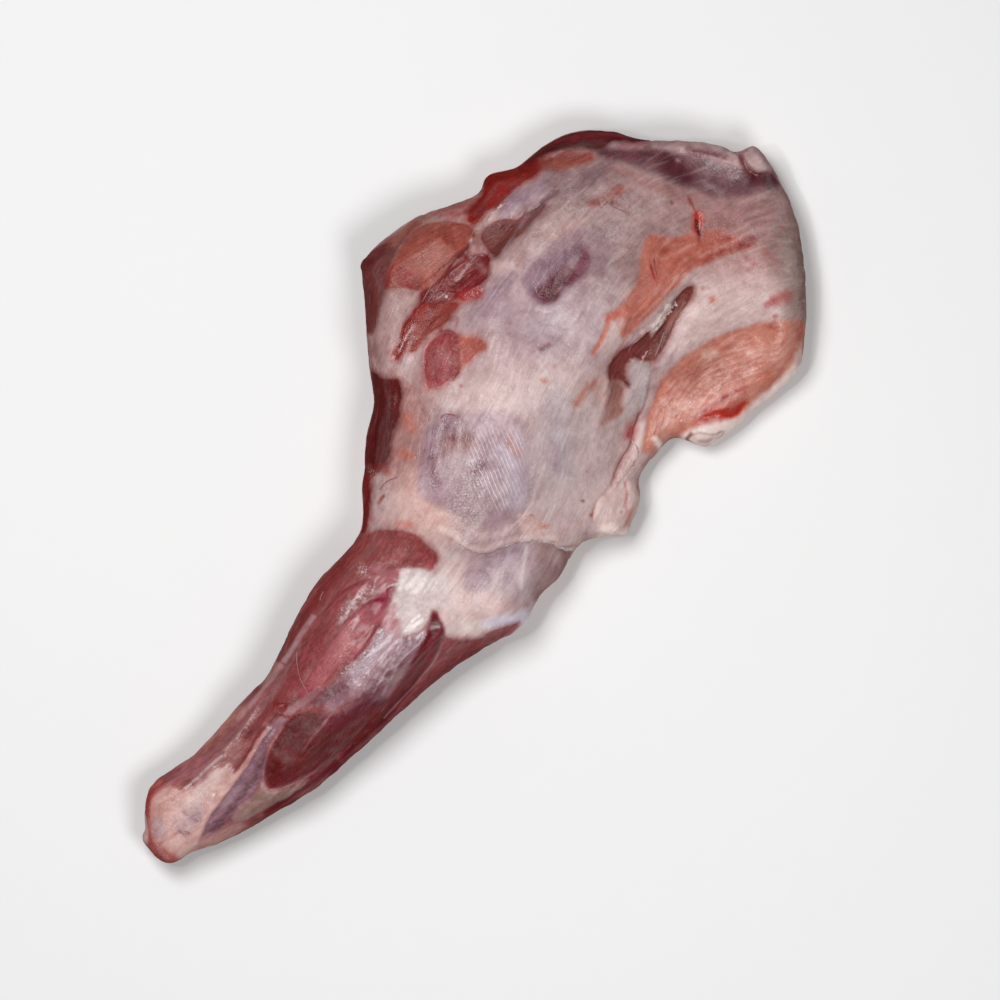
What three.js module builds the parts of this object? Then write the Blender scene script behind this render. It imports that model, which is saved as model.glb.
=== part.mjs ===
// Raw mutton shoulder on the bone: the foreleg of a sheep, from the top of the blade to the knee
// joint, lying on its inner side. It is one piece of meat, so it is one solid.
//
// Millimetres, +Z up. The limb lies along X, with the cut knee joint at -X and the top of the
// blade at +X. The meat is described as a map seen from above:
//   - EDGE, the line where it ends, with how widely the meat rounds over there;
//   - SPOT_HEIGHTS, the height of its upper face over named spots, smoothly joined;
//   - muscles, folds, sheets and hollows, which raise or sink that face.
// A net of equal cells is then wrapped round every point that lies inside those limits.
import * as THREE from "three";

// Driving sizes.
const CELL = [6, 6, 7]; // one cell of the net, along X, Y and Z
const EDGE_SAMPLES = 320; // points along the whole edge line
const BULGE_LEVEL = 0.42; // share of the thickness, from below, at which the edge stands out furthest
const SPOT_REACH = 25; // how far one spot height is felt
const ROUND_REACH = 6; // how near a stretch of edge must be to set the rounding alone
const SETTLE_ROUNDS = 3; // times that the net is evened out and drawn back onto the meat
const PROBE = 0.4; // how far apart the meat's depth is read for its slope
const GENTLEST_SLOPE = 0.05; // square of the slope below which a vertex is moved no faster
const FLATTENED = 0.8; // the lower face lies on the table where it would rise by less than this
const REST_SLACK = 0.05; // what lies this close to the table lies on it

// The edge line, anticlockwise: x, y and the rounding radius, stretch by stretch.
const EDGE = [
  // cut knee joint
  [-204.5, 31, 9], [-213, 28.5, 6], [-220, 23, 5], [-227, 15.5, 5],
  [-231, 7, 5], [-232, 0, 5], [-230, -4, 5], [-224.5, -3.5, 7],
  // underside of the shank
  [-212, -12, 12], [-195, -21, 15], [-176, -29, 20], [-157, -37, 24],
  [-133, -41.5, 28], [-113, -45.5, 28], [-93, -49, 28], [-66, -55.5, 28],
  // point of the elbow
  [-50.5, -62, 24], [-32, -69.5, 19], [-23.5, -70.5, 17], [-14, -68, 17], [3, -71, 16],
  // small flap and the notch above it
  [20, -68, 9], [32.5, -77.5, 6], [38, -84, 5], [46, -83, 5], [60, -78, 5],
  [63, -73, 6], [81, -72.5, 9],
  // breast flap with its rolled rim
  [91, -74, 9], [94.5, -80, 8], [95.5, -87.5, 8], [109, -94.5, 10], [125, -97.5, 12],
  [153, -103.5, 13], [162, -102.5, 15],
  // outer side and its round corner
  [171, -97.5, 19], [192.5, -82, 26], [207.5, -68, 26], [219.5, -53.5, 24], [226.5, -40, 20],
  // stub of gristle, and the top of the blade
  [232.5, -24, 8], [232.5, -18, 6], [229, -16, 6], [224.5, -16.5, 8], [224, -11, 10],
  [218, 4, 13], [206, 20, 13], [201.5, 29, 12], [196.5, 43, 13], [185.5, 57, 14],
  // neck side, cut in steps
  [176, 63, 14], [163, 67.5, 13], [153, 69.5, 12], [144, 77, 10], [139.5, 80, 8],
  [133, 77, 10], [125, 80.5, 12], [113.5, 88, 15], [103.5, 95, 18], [89.5, 100.5, 18],
  [74, 103.5, 14], [67.5, 103.5, 12], [57.5, 94.5, 18], [26.5, 67.5, 24],
  // front of the upper arm and the shank
  [16, 56.5, 25], [5.5, 52, 26], [-19, 38, 27], [-38, 24, 27], [-47, 22.5, 27],
  [-69.5, 24.5, 28], [-85, 24, 26], [-108, 20.5, 24], [-128, 17.5, 22], [-144, 20, 20],
  [-180, 23.5, 15],
];

// Height of the upper face: x, y, height.
const SPOT_HEIGHTS = [
  // shank
  [-222, 12, 37], [-181, 8, 43], [-144, -6, 50], [-94, -14, 58], [-54, -8, 62],
  // elbow and upper arm
  [-26, -60, 48], [-36, -36, 58], [-14, 14, 62], [14, -8, 74], [12, 36, 58], [44, -36, 70],
  // shoulder joint and blade
  [50, 52, 60], [72, 6, 76], [112, 12, 74], [114, 52, 60], [94, 82, 46], [134, 74, 36],
  [152, 40, 60], [172, 20, 58], [174, 56, 34], [206, -4, 42], [214, -36, 40],
  // outer side and flaps
  [182, -46, 54], [184, -72, 42], [146, -52, 52], [116, -34, 58], [140, -84, 28],
  [116, -88, 20], [98, -80, 18], [82, -60, 36], [46, -76, 20], [24, -66, 40],
];

// Height of the lower face above the table, where the meat doesn't rest on it: x, y, height, reach.
const RAISED_SPOTS = [
  [-230, 8, 7, 16], [-20, -66, 12, 20], [-58, 20, 7, 18], [44, -82, 6, 14],
  [160, 66, 7, 24], [226, -20, 12, 20], [70, 100, 9, 20], [-118, 18, 5, 24],
];

// Muscle bellies of the forearm, side by side: how far each swells, and its run as x, y, half-width.
const FOREARM = [
  { rise: 6, run: [[-38, 2, 12], [-56, 12, 14], [-84, 15, 13], [-114, 14, 10], [-148, 14, 7]] },
  { rise: 6, run: [[-60, -6, 9], [-86, -1, 12], [-114, 0, 10], [-150, 2, 7]] },
  { rise: 3, run: [[-70, -20, 8], [-104, -15, 8], [-134, -9, 7]] },
  { rise: 6, run: [[-54, -36, 9], [-86, -34, 13], [-118, -27, 14], [-154, -18, 8]] },
  { rise: 5, run: [[-58, -54, 9], [-92, -50, 9], [-128, -42, 9], [-164, -30, 8]] },
];
const CREASE = 1.4; // how softly two bellies meet

// Ridges (+) and valleys (-) of the upper face, each with its run as x, y, half-width.
const RIDGES = [
  // point of the elbow, and the dip before it
  { rise: 5, run: [[-32, -58, 13], [-8, -58, 13]] },
  { rise: -2, run: [[-42, -26, 10], [-26, -36, 10]] },
  // bellies of the upper arm
  { rise: 4, run: [[-4, 6, 24], [42, -8, 26]] },
  { rise: -3, run: [[0, 34, 9], [30, 46, 9], [48, 60, 9], [76, 60, 10], [102, 54, 9], [122, 48, 8]] },
  { rise: 4, run: [[20, 54, 11], [44, 72, 12], [70, 86, 14], [98, 80, 16]] },
  // round muscle that stands out beside the valley
  { rise: 3, run: [[50, 42, 11], [62, 41, 11]] },
  // spine of the blade with a hollow on each side
  { rise: 4, run: [[70, 22, 12], [106, 44, 11], [140, 42, 11], [168, 26, 11], [186, 4, 10]] },
  { rise: -4, run: [[100, 22, 12], [146, 12, 12]] },
  { rise: -3, run: [[112, 62, 9], [136, 54, 8]] },
  // the breast muscle dips under the outer sheet
  { rise: -6, run: [[150, -37, 6], [130, -37, 8], [112, -36, 9], [96, -38, 9]] },
  { rise: 3, run: [[160, -26, 9], [132, -22, 10], [104, -18, 10], [80, -22, 9]] },
  // fold where the breast flap leaves the arm
  { rise: -6, run: [[112, -52, 8], [84, -58, 9], [58, -62, 8]] },
  // rolled rim of the breast flap, and the dip inside it
  { rise: 5, run: [[176, -84, 11], [156, -91, 10], [130, -86, 9], [108, -83, 8]] },
  { rise: -4, run: [[156, -74, 12], [126, -70, 13], [106, -66, 10]] },
  // band along the top of the blade, with its raised lip
  { rise: -4, run: [[190, 28, 9], [206, -5, 9], [220, -32, 9]] },
  { rise: 3, run: [[204, 22, 6], [216, 1, 6], [222, -12, 6]] },
  { rise: 5, run: [[225, -19, 7], [229, -22, 7]] },
];

// Loose sheets: the face drops by this much outside a line that runs over it.
const SHEETS = [
  // outer sheet of the upper arm, ending round the bellies of the forearm and over the elbow
  {
    drop: 4,
    blend: 8,
    line: [
      [-62, 40], [-44, 24], [-32, 10], [-28, -4], [-26, -16],
      [-16, -26], [-5, -38], [5, -48], [14, -58], [24, -76],
    ],
    beyond: [[0, -120], [-260, -120], [-260, 60]],
  },
  // outer sheet over the neck muscles
  {
    drop: 5,
    blend: 8,
    line: [[118, 84], [124, 67], [136, 64], [155, 60], [168, 53], [184, 42], [200, 28]],
    beyond: [[210, 60], [160, 100]],
  },
];

// Grooves of the lower face, between its muscles: depth, and run as x, y, half-width.
const UNDER_GROOVES = [
  { rise: 5, run: [[-190, 4, 7], [-130, -8, 9], [-70, -16, 10], [-30, -30, 11]] },
  { rise: 6, run: [[-30, -30, 11], [10, -34, 12], [50, -52, 11], [84, -64, 8]] },
  { rise: 4, run: [[0, 30, 9], [60, 50, 10], [120, 44, 10], [176, 26, 9]] },
  { rise: 4, run: [[60, 2, 9], [120, -18, 9], [190, -40, 8]] },
];

// End of the forearm bone in the cut knee joint: centre, half-sizes and turn about Z.
const KNUCKLE = { at: [-220.5, 9.5, 18], half: [13, 13, 10], turn: 2.7, blend: 3 };

const smooth = (t) => {
  const held = Math.min(Math.max(t, 0), 1);
  return held * held * (3 - 2 * held);
};

// The smaller of two depths, rounded where they meet.
const softMin = (a, b, width) => {
  const share = Math.min(Math.max(0.5 + (b - a) / (2 * width), 0), 1);
  return b + (a - b) * share - width * share * (1 - share);
};

// The edge line as even samples of x, y and rounding radius.
function sampleEdge() {
  const points = EDGE.map(([x, y, radius]) => new THREE.Vector3(x, y, radius));
  const curve = new THREE.CatmullRomCurve3(points, true, "centripetal");
  return curve.getPoints(EDGE_SAMPLES).slice(0, -1);
}
const edge = sampleEdge();

// How far a place lies inside the edge line (negative outside), and the rounding radius there.
function insideEdge(x, y) {
  let nearest = Infinity;
  let turns = false;
  let weights = 0;
  let radii = 0;
  for (let i = 0, j = edge.length - 1; i < edge.length; j = i, i += 1) {
    const a = edge[j];
    const b = edge[i];
    const runX = b.x - a.x;
    const runY = b.y - a.y;
    const along = ((x - a.x) * runX + (y - a.y) * runY) / (runX * runX + runY * runY);
    const held = Math.min(Math.max(along, 0), 1);
    const gap = (x - a.x - held * runX) ** 2 + (y - a.y - held * runY) ** 2;
    nearest = Math.min(nearest, gap);
    if (a.y > y !== b.y > y && x < a.x + ((y - a.y) / runY) * runX) turns = !turns;
    const weight = 1 / (gap + ROUND_REACH ** 2) ** 2;
    weights += weight;
    radii += weight * b.z;
  }
  return { depth: turns ? Math.sqrt(nearest) : -Math.sqrt(nearest), radius: radii / weights };
}

// How near a place lies to a run, as a share of the run's half-width there: 0 on it, 1 at its side.
function nearRun(run, x, y) {
  let nearest = Infinity;
  for (let i = 1; i < run.length; i += 1) {
    const [ax, ay, aw] = run[i - 1];
    const [bx, by, bw] = run[i];
    const along = ((x - ax) * (bx - ax) + (y - ay) * (by - ay)) / ((bx - ax) ** 2 + (by - ay) ** 2);
    const held = Math.min(Math.max(along, 0), 1);
    const gap = Math.hypot(x - ax - held * (bx - ax), y - ay - held * (by - ay));
    nearest = Math.min(nearest, gap / (aw + held * (bw - aw)));
  }
  return nearest;
}

const swell = ({ rise, run }, x, y) => {
  const near = nearRun(run, x, y);
  return rise * Math.exp(-near * near);
};

// Bellies meet in soft creases: of those round a place, the highest counts.
const bellies = (muscles, x, y) => {
  const powers = muscles.map((muscle) => Math.exp(swell(muscle, x, y) / CREASE));
  return CREASE * Math.log(powers.reduce((sum, power) => sum + power, 0) / muscles.length);
};

// How far a sheet's far side sinks at a place: all of the drop inside its outline, none outside.
function sheetDrop({ drop, blend, line, beyond }, x, y) {
  const outline = [...line, ...beyond];
  let turns = false;
  for (let i = 0, j = outline.length - 1; i < outline.length; j = i, i += 1) {
    const [ax, ay] = outline[j];
    const [bx, by] = outline[i];
    if (ay > y !== by > y && x < ax + ((y - ay) / (by - ay)) * (bx - ax)) turns = !turns;
  }
  const gap = nearRun(line.map(([px, py]) => [px, py, 1]), x, y);
  return drop * smooth(0.5 + (turns ? gap : -gap) / blend);
}

function upperFace(x, y) {
  let weights = 0;
  let heights = 0;
  for (const [sx, sy, height] of SPOT_HEIGHTS) {
    const weight = Math.exp(-((x - sx) ** 2 + (y - sy) ** 2) / (2 * SPOT_REACH ** 2));
    weights += weight;
    heights += weight * height;
  }
  const base = weights > 0 ? heights / weights : 0;
  const forearm = bellies(FOREARM, x, y);
  const ridges = RIDGES.reduce((sum, ridge) => sum + swell(ridge, x, y), 0);
  const drops = SHEETS.reduce((sum, sheet) => sum + sheetDrop(sheet, x, y), 0);
  return base + forearm + ridges - drops;
}

function lowerFace(x, y) {
  const raised = RAISED_SPOTS.reduce((sum, [sx, sy, height, reach]) =>
    sum + height * Math.exp(-((x - sx) ** 2 + (y - sy) ** 2) / (2 * reach ** 2)), 0);
  const grooves = UNDER_GROOVES.reduce((sum, groove) => sum + swell(groove, x, y), 0);
  return Math.max(raised + grooves - FLATTENED, 0);
}

// The map at one place: everything that doesn't depend on height.
function mapAt(x, y) {
  const { depth, radius } = insideEdge(x, y);
  return { depth, radius, top: upperFace(x, y), bottom: lowerFace(x, y) };
}

// How far outside the bone's end a point lies.
function outsideKnuckle(x, y, z) {
  const [cx, cy, cz] = KNUCKLE.at;
  const [along, across, up] = KNUCKLE.half;
  const cos = Math.cos(KNUCKLE.turn);
  const sin = Math.sin(KNUCKLE.turn);
  const a = (x - cx) * cos + (y - cy) * sin;
  const b = (y - cy) * cos - (x - cx) * sin;
  return (Math.hypot(a / along, b / across, (z - cz) / up) - 1) * up;
}

// How far outside the meat a point lies: zero on its surface, negative within.
function outside({ depth, radius, top, bottom }, x, y, z) {
  const level = bottom + BULGE_LEVEL * (top - bottom);
  const room = z > level ? top - level : level - bottom;
  const edgeward = Math.max(1 - depth / radius, 0);
  const upward = (z - level) / room;
  const flesh = (Math.hypot(edgeward, upward) - 1) * Math.min(radius, room);
  return softMin(flesh, outsideKnuckle(x, y, z), KNUCKLE.blend);
}

// A face of the grid with opposite corners inside would pinch the net, so its shallowest corner
// changes sides, until no such face is left.
function clearSaddles([nx, ny, nz], at, depths) {
  const faces = [[[1, 0, 0], [0, 1, 0]], [[0, 1, 0], [0, 0, 1]], [[0, 0, 1], [1, 0, 0]]];
  let changed = true;
  while (changed) {
    changed = false;
    for (let k = 0; k < nz - 1; k += 1) {
      for (let j = 0; j < ny - 1; j += 1) {
        for (let i = 0; i < nx - 1; i += 1) {
          for (const [u, v] of faces) {
            const loop = [
              at(i, j, k),
              at(i + u[0], j + u[1], k + u[2]),
              at(i + u[0] + v[0], j + u[1] + v[1], k + u[2] + v[2]),
              at(i + v[0], j + v[1], k + v[2]),
            ];
            const inside = loop.map((n) => depths[n] < 0);
            if (inside[0] !== inside[2] || inside[1] !== inside[3] || inside[0] === inside[1]) continue;
            const shallow = loop.reduce((a, b) => (Math.abs(depths[a]) < Math.abs(depths[b]) ? a : b));
            depths[shallow] = depths[shallow] < 0 ? REST_SLACK : -REST_SLACK;
            changed = true;
          }
        }
      }
    }
  }
}

// Wraps a net round the meat: one vertex in each cell that its surface crosses.
function wrapNet() {
  const low = [-242, -114, -CELL[2] * 1.5];
  const counts = [484, 228, 110].map((length, axis) => Math.ceil(length / CELL[axis]));
  const place = (axis, n) => low[axis] + n * CELL[axis];
  const [nx, ny, nz] = counts.map((n) => n + 1);
  const depths = new Float64Array(nx * ny * nz);
  const at = (i, j, k) => (k * ny + j) * nx + i;
  for (let j = 0; j < ny; j += 1) {
    for (let i = 0; i < nx; i += 1) {
      const map = mapAt(place(0, i), place(1, j));
      for (let k = 0; k < nz; k += 1) {
        depths[at(i, j, k)] = outside(map, place(0, i), place(1, j), place(2, k));
      }
    }
  }
  clearSaddles([nx, ny, nz], at, depths);
  const corners = [0, 1, 2, 3, 4, 5, 6, 7].map((c) => [c & 1, (c >> 1) & 1, c >> 2]);
  const sides = corners.flatMap((a, m) => corners.slice(m + 1)
    .filter((b) => Math.abs(a[0] - b[0]) + Math.abs(a[1] - b[1]) + Math.abs(a[2] - b[2]) === 1)
    .map((b) => [a, b]));
  const vertices = [];
  const vertexOf = new Map();
  for (let k = 0; k < nz - 1; k += 1) {
    for (let j = 0; j < ny - 1; j += 1) {
      for (let i = 0; i < nx - 1; i += 1) {
        const middle = new THREE.Vector3();
        let crossed = 0;
        for (const [a, b] of sides) {
          const da = depths[at(i + a[0], j + a[1], k + a[2])];
          const db = depths[at(i + b[0], j + b[1], k + b[2])];
          if (da < 0 === db < 0) continue;
          const share = da / (da - db);
          const step = [0, 1, 2].map((n) => a[n] + share * (b[n] - a[n]));
          middle.add(new THREE.Vector3(place(0, i + step[0]), place(1, j + step[1]), place(2, k + step[2])));
          crossed += 1;
        }
        if (!crossed) continue;
        vertexOf.set(at(i, j, k), vertices.length);
        vertices.push(middle.divideScalar(crossed));
      }
    }
  }
  return { vertices, quads: netQuads([nx, ny, nz], at, depths, vertexOf) };
}

// Four cells meet round each crossed line of the grid, and their vertices make one quad.
function netQuads([nx, ny, nz], at, depths, vertexOf) {
  const ways = [
    { ahead: [1, 0, 0], round: [[0, -1, -1], [0, 0, -1], [0, 0, 0], [0, -1, 0]] },
    { ahead: [0, 1, 0], round: [[-1, 0, -1], [-1, 0, 0], [0, 0, 0], [0, 0, -1]] },
    { ahead: [0, 0, 1], round: [[-1, -1, 0], [0, -1, 0], [0, 0, 0], [-1, 0, 0]] },
  ];
  const quads = [];
  for (let k = 1; k < nz - 1; k += 1) {
    for (let j = 1; j < ny - 1; j += 1) {
      for (let i = 1; i < nx - 1; i += 1) {
        for (const { ahead, round } of ways) {
          const here = depths[at(i, j, k)] < 0;
          const next = depths[at(i + ahead[0], j + ahead[1], k + ahead[2])] < 0;
          if (here === next) continue;
          const quad = round.map(([a, b, c]) => vertexOf.get(at(i + a, j + b, k + c)));
          quads.push(here ? quad : quad.reverse());
        }
      }
    }
  }
  return quads;
}

// Draws a vertex onto the surface of the meat along its slope.
function drawIn(vertex) {
  for (let round = 0; round < 4; round += 1) {
    const { x, y, z } = vertex;
    const map = mapAt(x, y);
    const here = outside(map, x, y, z);
    const slope = new THREE.Vector3(
      outside(mapAt(x + PROBE, y), x + PROBE, y, z) - here,
      outside(mapAt(x, y + PROBE), x, y + PROBE, z) - here,
      outside(map, x, y, z + PROBE) - here,
    ).divideScalar(PROBE);
    const move = slope.multiplyScalar(-here / Math.max(slope.lengthSq(), GENTLEST_SLOPE));
    vertex.add(move.clampLength(0, CELL[0] / 2));
  }
  if (vertex.z < REST_SLACK) vertex.z = 0;
}

// Evens out the net: each vertex moves to the middle of its neighbours, then back onto the meat.
function settle({ vertices, quads }) {
  const neighbours = vertices.map(() => new Set());
  for (const quad of quads) {
    quad.forEach((v, n) => neighbours[v].add(quad[(n + 1) % 4]).add(quad[(n + 3) % 4]));
  }
  for (let round = 0; round < SETTLE_ROUNDS; round += 1) {
    const middles = neighbours.map((near) => {
      const middle = new THREE.Vector3();
      near.forEach((n) => middle.add(vertices[n]));
      return middle.divideScalar(near.size);
    });
    vertices.forEach((vertex, n) => drawIn(vertex.lerp(middles[n], 0.5)));
  }
}

// Splits each quad along its shorter diagonal.
function trianglesOf({ vertices, quads }) {
  return quads.flatMap(([a, b, c, d]) =>
    vertices[a].distanceTo(vertices[c]) < vertices[b].distanceTo(vertices[d])
      ? [a, b, c, a, c, d]
      : [b, c, d, b, d, a]);
}

function shoulderGeometry() {
  const net = wrapNet();
  net.vertices.forEach(drawIn);
  settle(net);
  const geometry = new THREE.BufferGeometry();
  geometry.setFromPoints(net.vertices);
  geometry.setIndex(trianglesOf(net));
  geometry.computeBoundingBox();
  const middle = geometry.boundingBox.getCenter(new THREE.Vector3());
  geometry.translate(-middle.x, -middle.y, 0);
  geometry.computeVertexNormals();
  return geometry;
}

const meat = new THREE.MeshStandardMaterial({ color: 0xb98f8c, roughness: 0.42, metalness: 0 });
const shoulder = new THREE.Mesh(shoulderGeometry(), meat);
shoulder.name = "mutton_shoulder";

const part = new THREE.Group();
part.add(shoulder);
export default part;
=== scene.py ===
"""Raw mutton shoulder on the bone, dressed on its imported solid.

The meat is one skin. Its relief is moved in the mesh, and its colours, fibres and films are painted
onto its vertices from named marks, which its material then breaks up with fine noise. Torn films
and threads are pieces of their own.

Metres, +Z up, the limb along X. A mark is placed by the pixels of the 1000 x 1000 photograph that
looks straight down on the meat, so PIXEL, MIDDLE and TURN below tie those pixels to the frame.
"""

from collections import namedtuple
from functools import partial
from itertools import product
from math import radians

import bmesh
import bpy
import numpy as np
from mathutils import Matrix, Vector
from mathutils.bvhtree import BVHTree


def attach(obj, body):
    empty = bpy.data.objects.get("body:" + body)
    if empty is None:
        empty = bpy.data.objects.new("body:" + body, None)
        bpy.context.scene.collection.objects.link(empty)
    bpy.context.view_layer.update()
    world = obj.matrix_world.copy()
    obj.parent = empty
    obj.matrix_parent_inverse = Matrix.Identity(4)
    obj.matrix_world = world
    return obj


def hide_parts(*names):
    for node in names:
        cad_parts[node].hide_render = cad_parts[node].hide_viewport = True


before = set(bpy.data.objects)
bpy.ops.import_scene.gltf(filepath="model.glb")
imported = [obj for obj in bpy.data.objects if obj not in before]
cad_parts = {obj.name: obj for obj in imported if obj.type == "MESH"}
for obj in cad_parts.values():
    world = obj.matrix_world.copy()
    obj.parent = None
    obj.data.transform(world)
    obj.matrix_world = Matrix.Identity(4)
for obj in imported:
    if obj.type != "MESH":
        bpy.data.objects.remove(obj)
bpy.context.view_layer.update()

bl_info = {
    "name": "Raw mutton shoulder",
    "version": (1, 0, 0),
    "blender": (4, 5, 0),
    "location": "3D View > Sidebar > Mutton",
    "description": "Dresses the solid of a raw mutton shoulder with muscles, films and fat",
    "category": "Object",
}

NODE = "mutton_shoulder"
BODY = "root"

# The photograph: one pixel on the meat, the pixel over the frame's origin, the way the limb turns in
# it as a cosine and sine, and the camera's height over the level where a pixel has its size.
PIXEL = 0.0005
MIDDLE = (445, 495)
TURN = (0.6, 0.8)
VIEW_MIDDLE = (500, 500)
LEVEL = 0.03
DISTANCE = 4.1667
LENS = 300
FILM_GATE = 36

WELD = 1e-5
SHEEN = 0.016  # light that the wet face gives back whatever its colour, which the colours leave room for
DARKEST = 0.004
MM = 0.001

# Colours as 0 to 255, by what they are on the meat.
PALETTE = {
    "film": (186, 159, 159),
    "cream": (224, 200, 194),
    "white fat": (212, 186, 181),
    "ivory": (232, 218, 212),
    "blush": (214, 176, 168),
    "pink fat": (198, 150, 144),
    "lilac": (180, 162, 170),
    "lavender": (168, 142, 152),
    "mauve": (148, 122, 134),
    "silver": (196, 182, 186),
    "slate": (128, 100, 104),
    "grape": (138, 104, 120),
    "plum": (104, 54, 62),
    "violet": (88, 50, 56),
    "grey fat": (140, 112, 110),
    "ash": (150, 120, 118),
    # the next two are painted shade, where the film rounds down over the far rim
    "outer shade": (142, 122, 114),
    "dusk": (120, 98, 95),
    "tan": (172, 114, 102),
    "bronze": (122, 76, 68),
    "beige": (186, 148, 144),
    "brown": (112, 66, 64),
    "umber": (112, 60, 58),
    "terracotta": (176, 112, 97),
    "brick": (140, 64, 57),
    "peach": (206, 154, 140),
    "rust": (172, 92, 80),
    "ember": (195, 105, 85),
    "rose": (156, 75, 76),
    "berry": (160, 72, 80),
    "muscle": (140, 78, 80),
    "dull muscle": (142, 84, 85),
    "shank red": (118, 46, 50),
    "wine": (104, 42, 47),
    "dark wine": (86, 34, 40),
    "maroon": (118, 50, 50),
    "blood": (140, 38, 38),
    "capillary": (170, 78, 76),
    "dull pink": (160, 112, 107),
    "dusky pink": (144, 102, 100),
    "grey pink": (162, 130, 127),
    "milk": (208, 184, 181),
    "pearl": (200, 179, 177),
    "shell": (242, 208, 194),
    "ice": (216, 208, 222),
    "coral": (180, 106, 92),
    "orange flesh": (150, 78, 66),
    "deep red": (132, 40, 36),
    "dark blood": (120, 30, 28),
    "black cherry": (80, 22, 28),
    "dark maroon": (94, 32, 30),
    "dark slate": (108, 76, 82),
    "claret": (92, 28, 38),
    # the next two are painted shade of the walls, partly also the darker flesh of their sides
    "wall": (132, 82, 76),
    "dark wall": (100, 40, 38),
    "ruddy": (144, 70, 69),
    "belly red": (158, 74, 82),
    "extensor": (134, 58, 60),
    "deep claret": (98, 24, 34),
    "crimson": (146, 52, 76),
    "flush": (198, 132, 126),
    "frost": (207, 193, 191),
    "dusty mauve": (156, 112, 118),
    "haze": (136, 98, 110),
    "khaki fat": (146, 118, 108),
    "raw edge": (184, 94, 86),
    "bright rim": (252, 232, 224),
    "brown rose": (144, 78, 76),
    "dusty rose": (168, 106, 113),
    "bronze rose": (134, 80, 74),
    "brown pink": (180, 126, 119),
    "silver sheet": (172, 148, 158),
    "streak grey": (178, 146, 150),
    "streak tan": (174, 134, 132),
    "bare brown": (116, 62, 58),
    "hollow": (134, 104, 118),
    "hollow core": (90, 30, 42),
    "ice grey": (178, 168, 176),
    "valley red": (122, 44, 46),
    "vivid red": (178, 62, 62),
    "band maroon": (98, 52, 58),
    "band heart": (86, 40, 48),
    "smoky light": (150, 122, 128),
    "lip pink": (182, 152, 152),
    "deep salmon": (180, 99, 83),
    "flap salmon": (193, 123, 105),
    "slit brown": (116, 62, 56),
    "pocket red": (126, 64, 60),
    "olive brown": (168, 128, 116),
    "stream grey": (180, 164, 164),
    "wet red": (176, 52, 42),
    "low tone": (60, 44, 48),
    "high tone": (240, 234, 234),
}

# A mark of the paint. Its points are a closed outline, or with a width in pixels a stroke, or with
# one point a round spot. It lays film over the flesh, lays flesh bare, stains both coats, or strews
# glints, painted highlights that have no colour of their own.
#   amount  how much of its colour takes, 0 to 1       soft   width of its edge in pixels
#   ragged  how far its edge wanders in pixels         rise   how far the meat stands out, in mm
#   grain   a line that its fibres run along           wet    how much glossier it is, 0 to 1
Mark = namedtuple(
    "Mark", "coat name colour points width amount soft ragged rise grain wet",
    defaults=(None, 0.9, 3, 2, 0, None, 0))
Film, Flesh, Stain, Glint = (partial(Mark, coat) for coat in ("film", "flesh", "stain", "glint"))

# Broad tones of the film, from the blade down to the elbow.
FILM_TONES = (
    Stain("grey over the blade", "grey fat", [(610, 235)], 130, 0.9, 45, 8),
    Stain("grey behind the blade", "dusky pink", [(735, 215)], 110, 0.8, 40, 8),
    # painted shade where the film rounds down over the far rim, at its corner
    Stain("painted shade of the outer corner", "outer shade", [(795, 240), (800, 300)], 44, 0.8, 14, 5),
    Stain("pale outer side", "white fat", [(745, 290), (700, 320)], 80, 0.75, 30, 8),
    Stain("outer side", "dull pink", [(740, 245)], 70, 0.6, 30, 8),
    # painted shade where the film rounds down over the far rim
    Stain("painted shade of the outer edge", "dusk", [(806, 215), (808, 300)], 14, 0.8, 8, 2),
    Stain("mauve beside the spine", "lavender", [(505, 315), (540, 345), (560, 300)], 54, 0.5, 26, 8),
    Stain("pale slope", "silver", [(600, 300), (575, 340), (560, 330)], 46, 0.5, 26, 6),
    Stain("cream middle", "milk", [(520, 385), (480, 400), (560, 385)], 54, 0.85, 26, 8),
    Stain("lilac middle", "silver", [(556, 430), (548, 480)], 60, 0.55, 26, 8),
    Stain("pink fat of the neck", "dull pink", [(400, 410), (402, 450)], 60, 0.8, 22, 8),
    Stain("salmon hollow", "blush", [(412, 500), (432, 520)], 54, 0.8, 20, 8),
    Stain("beige flank", "pearl", [(560, 505), (575, 480)], 60, 0.6, 26, 8),
    Stain("pale flank", "pearl", [(545, 400), (600, 440), (600, 500)], 50, 0.7, 24, 8),
    Stain("pale elbow", "white fat", [(440, 590), (470, 615)], 70, 0.8, 24, 8),
    Stain("lilac elbow", "lilac", [(505, 565), (530, 575)], 54, 0.7, 20, 8),
)

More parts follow.
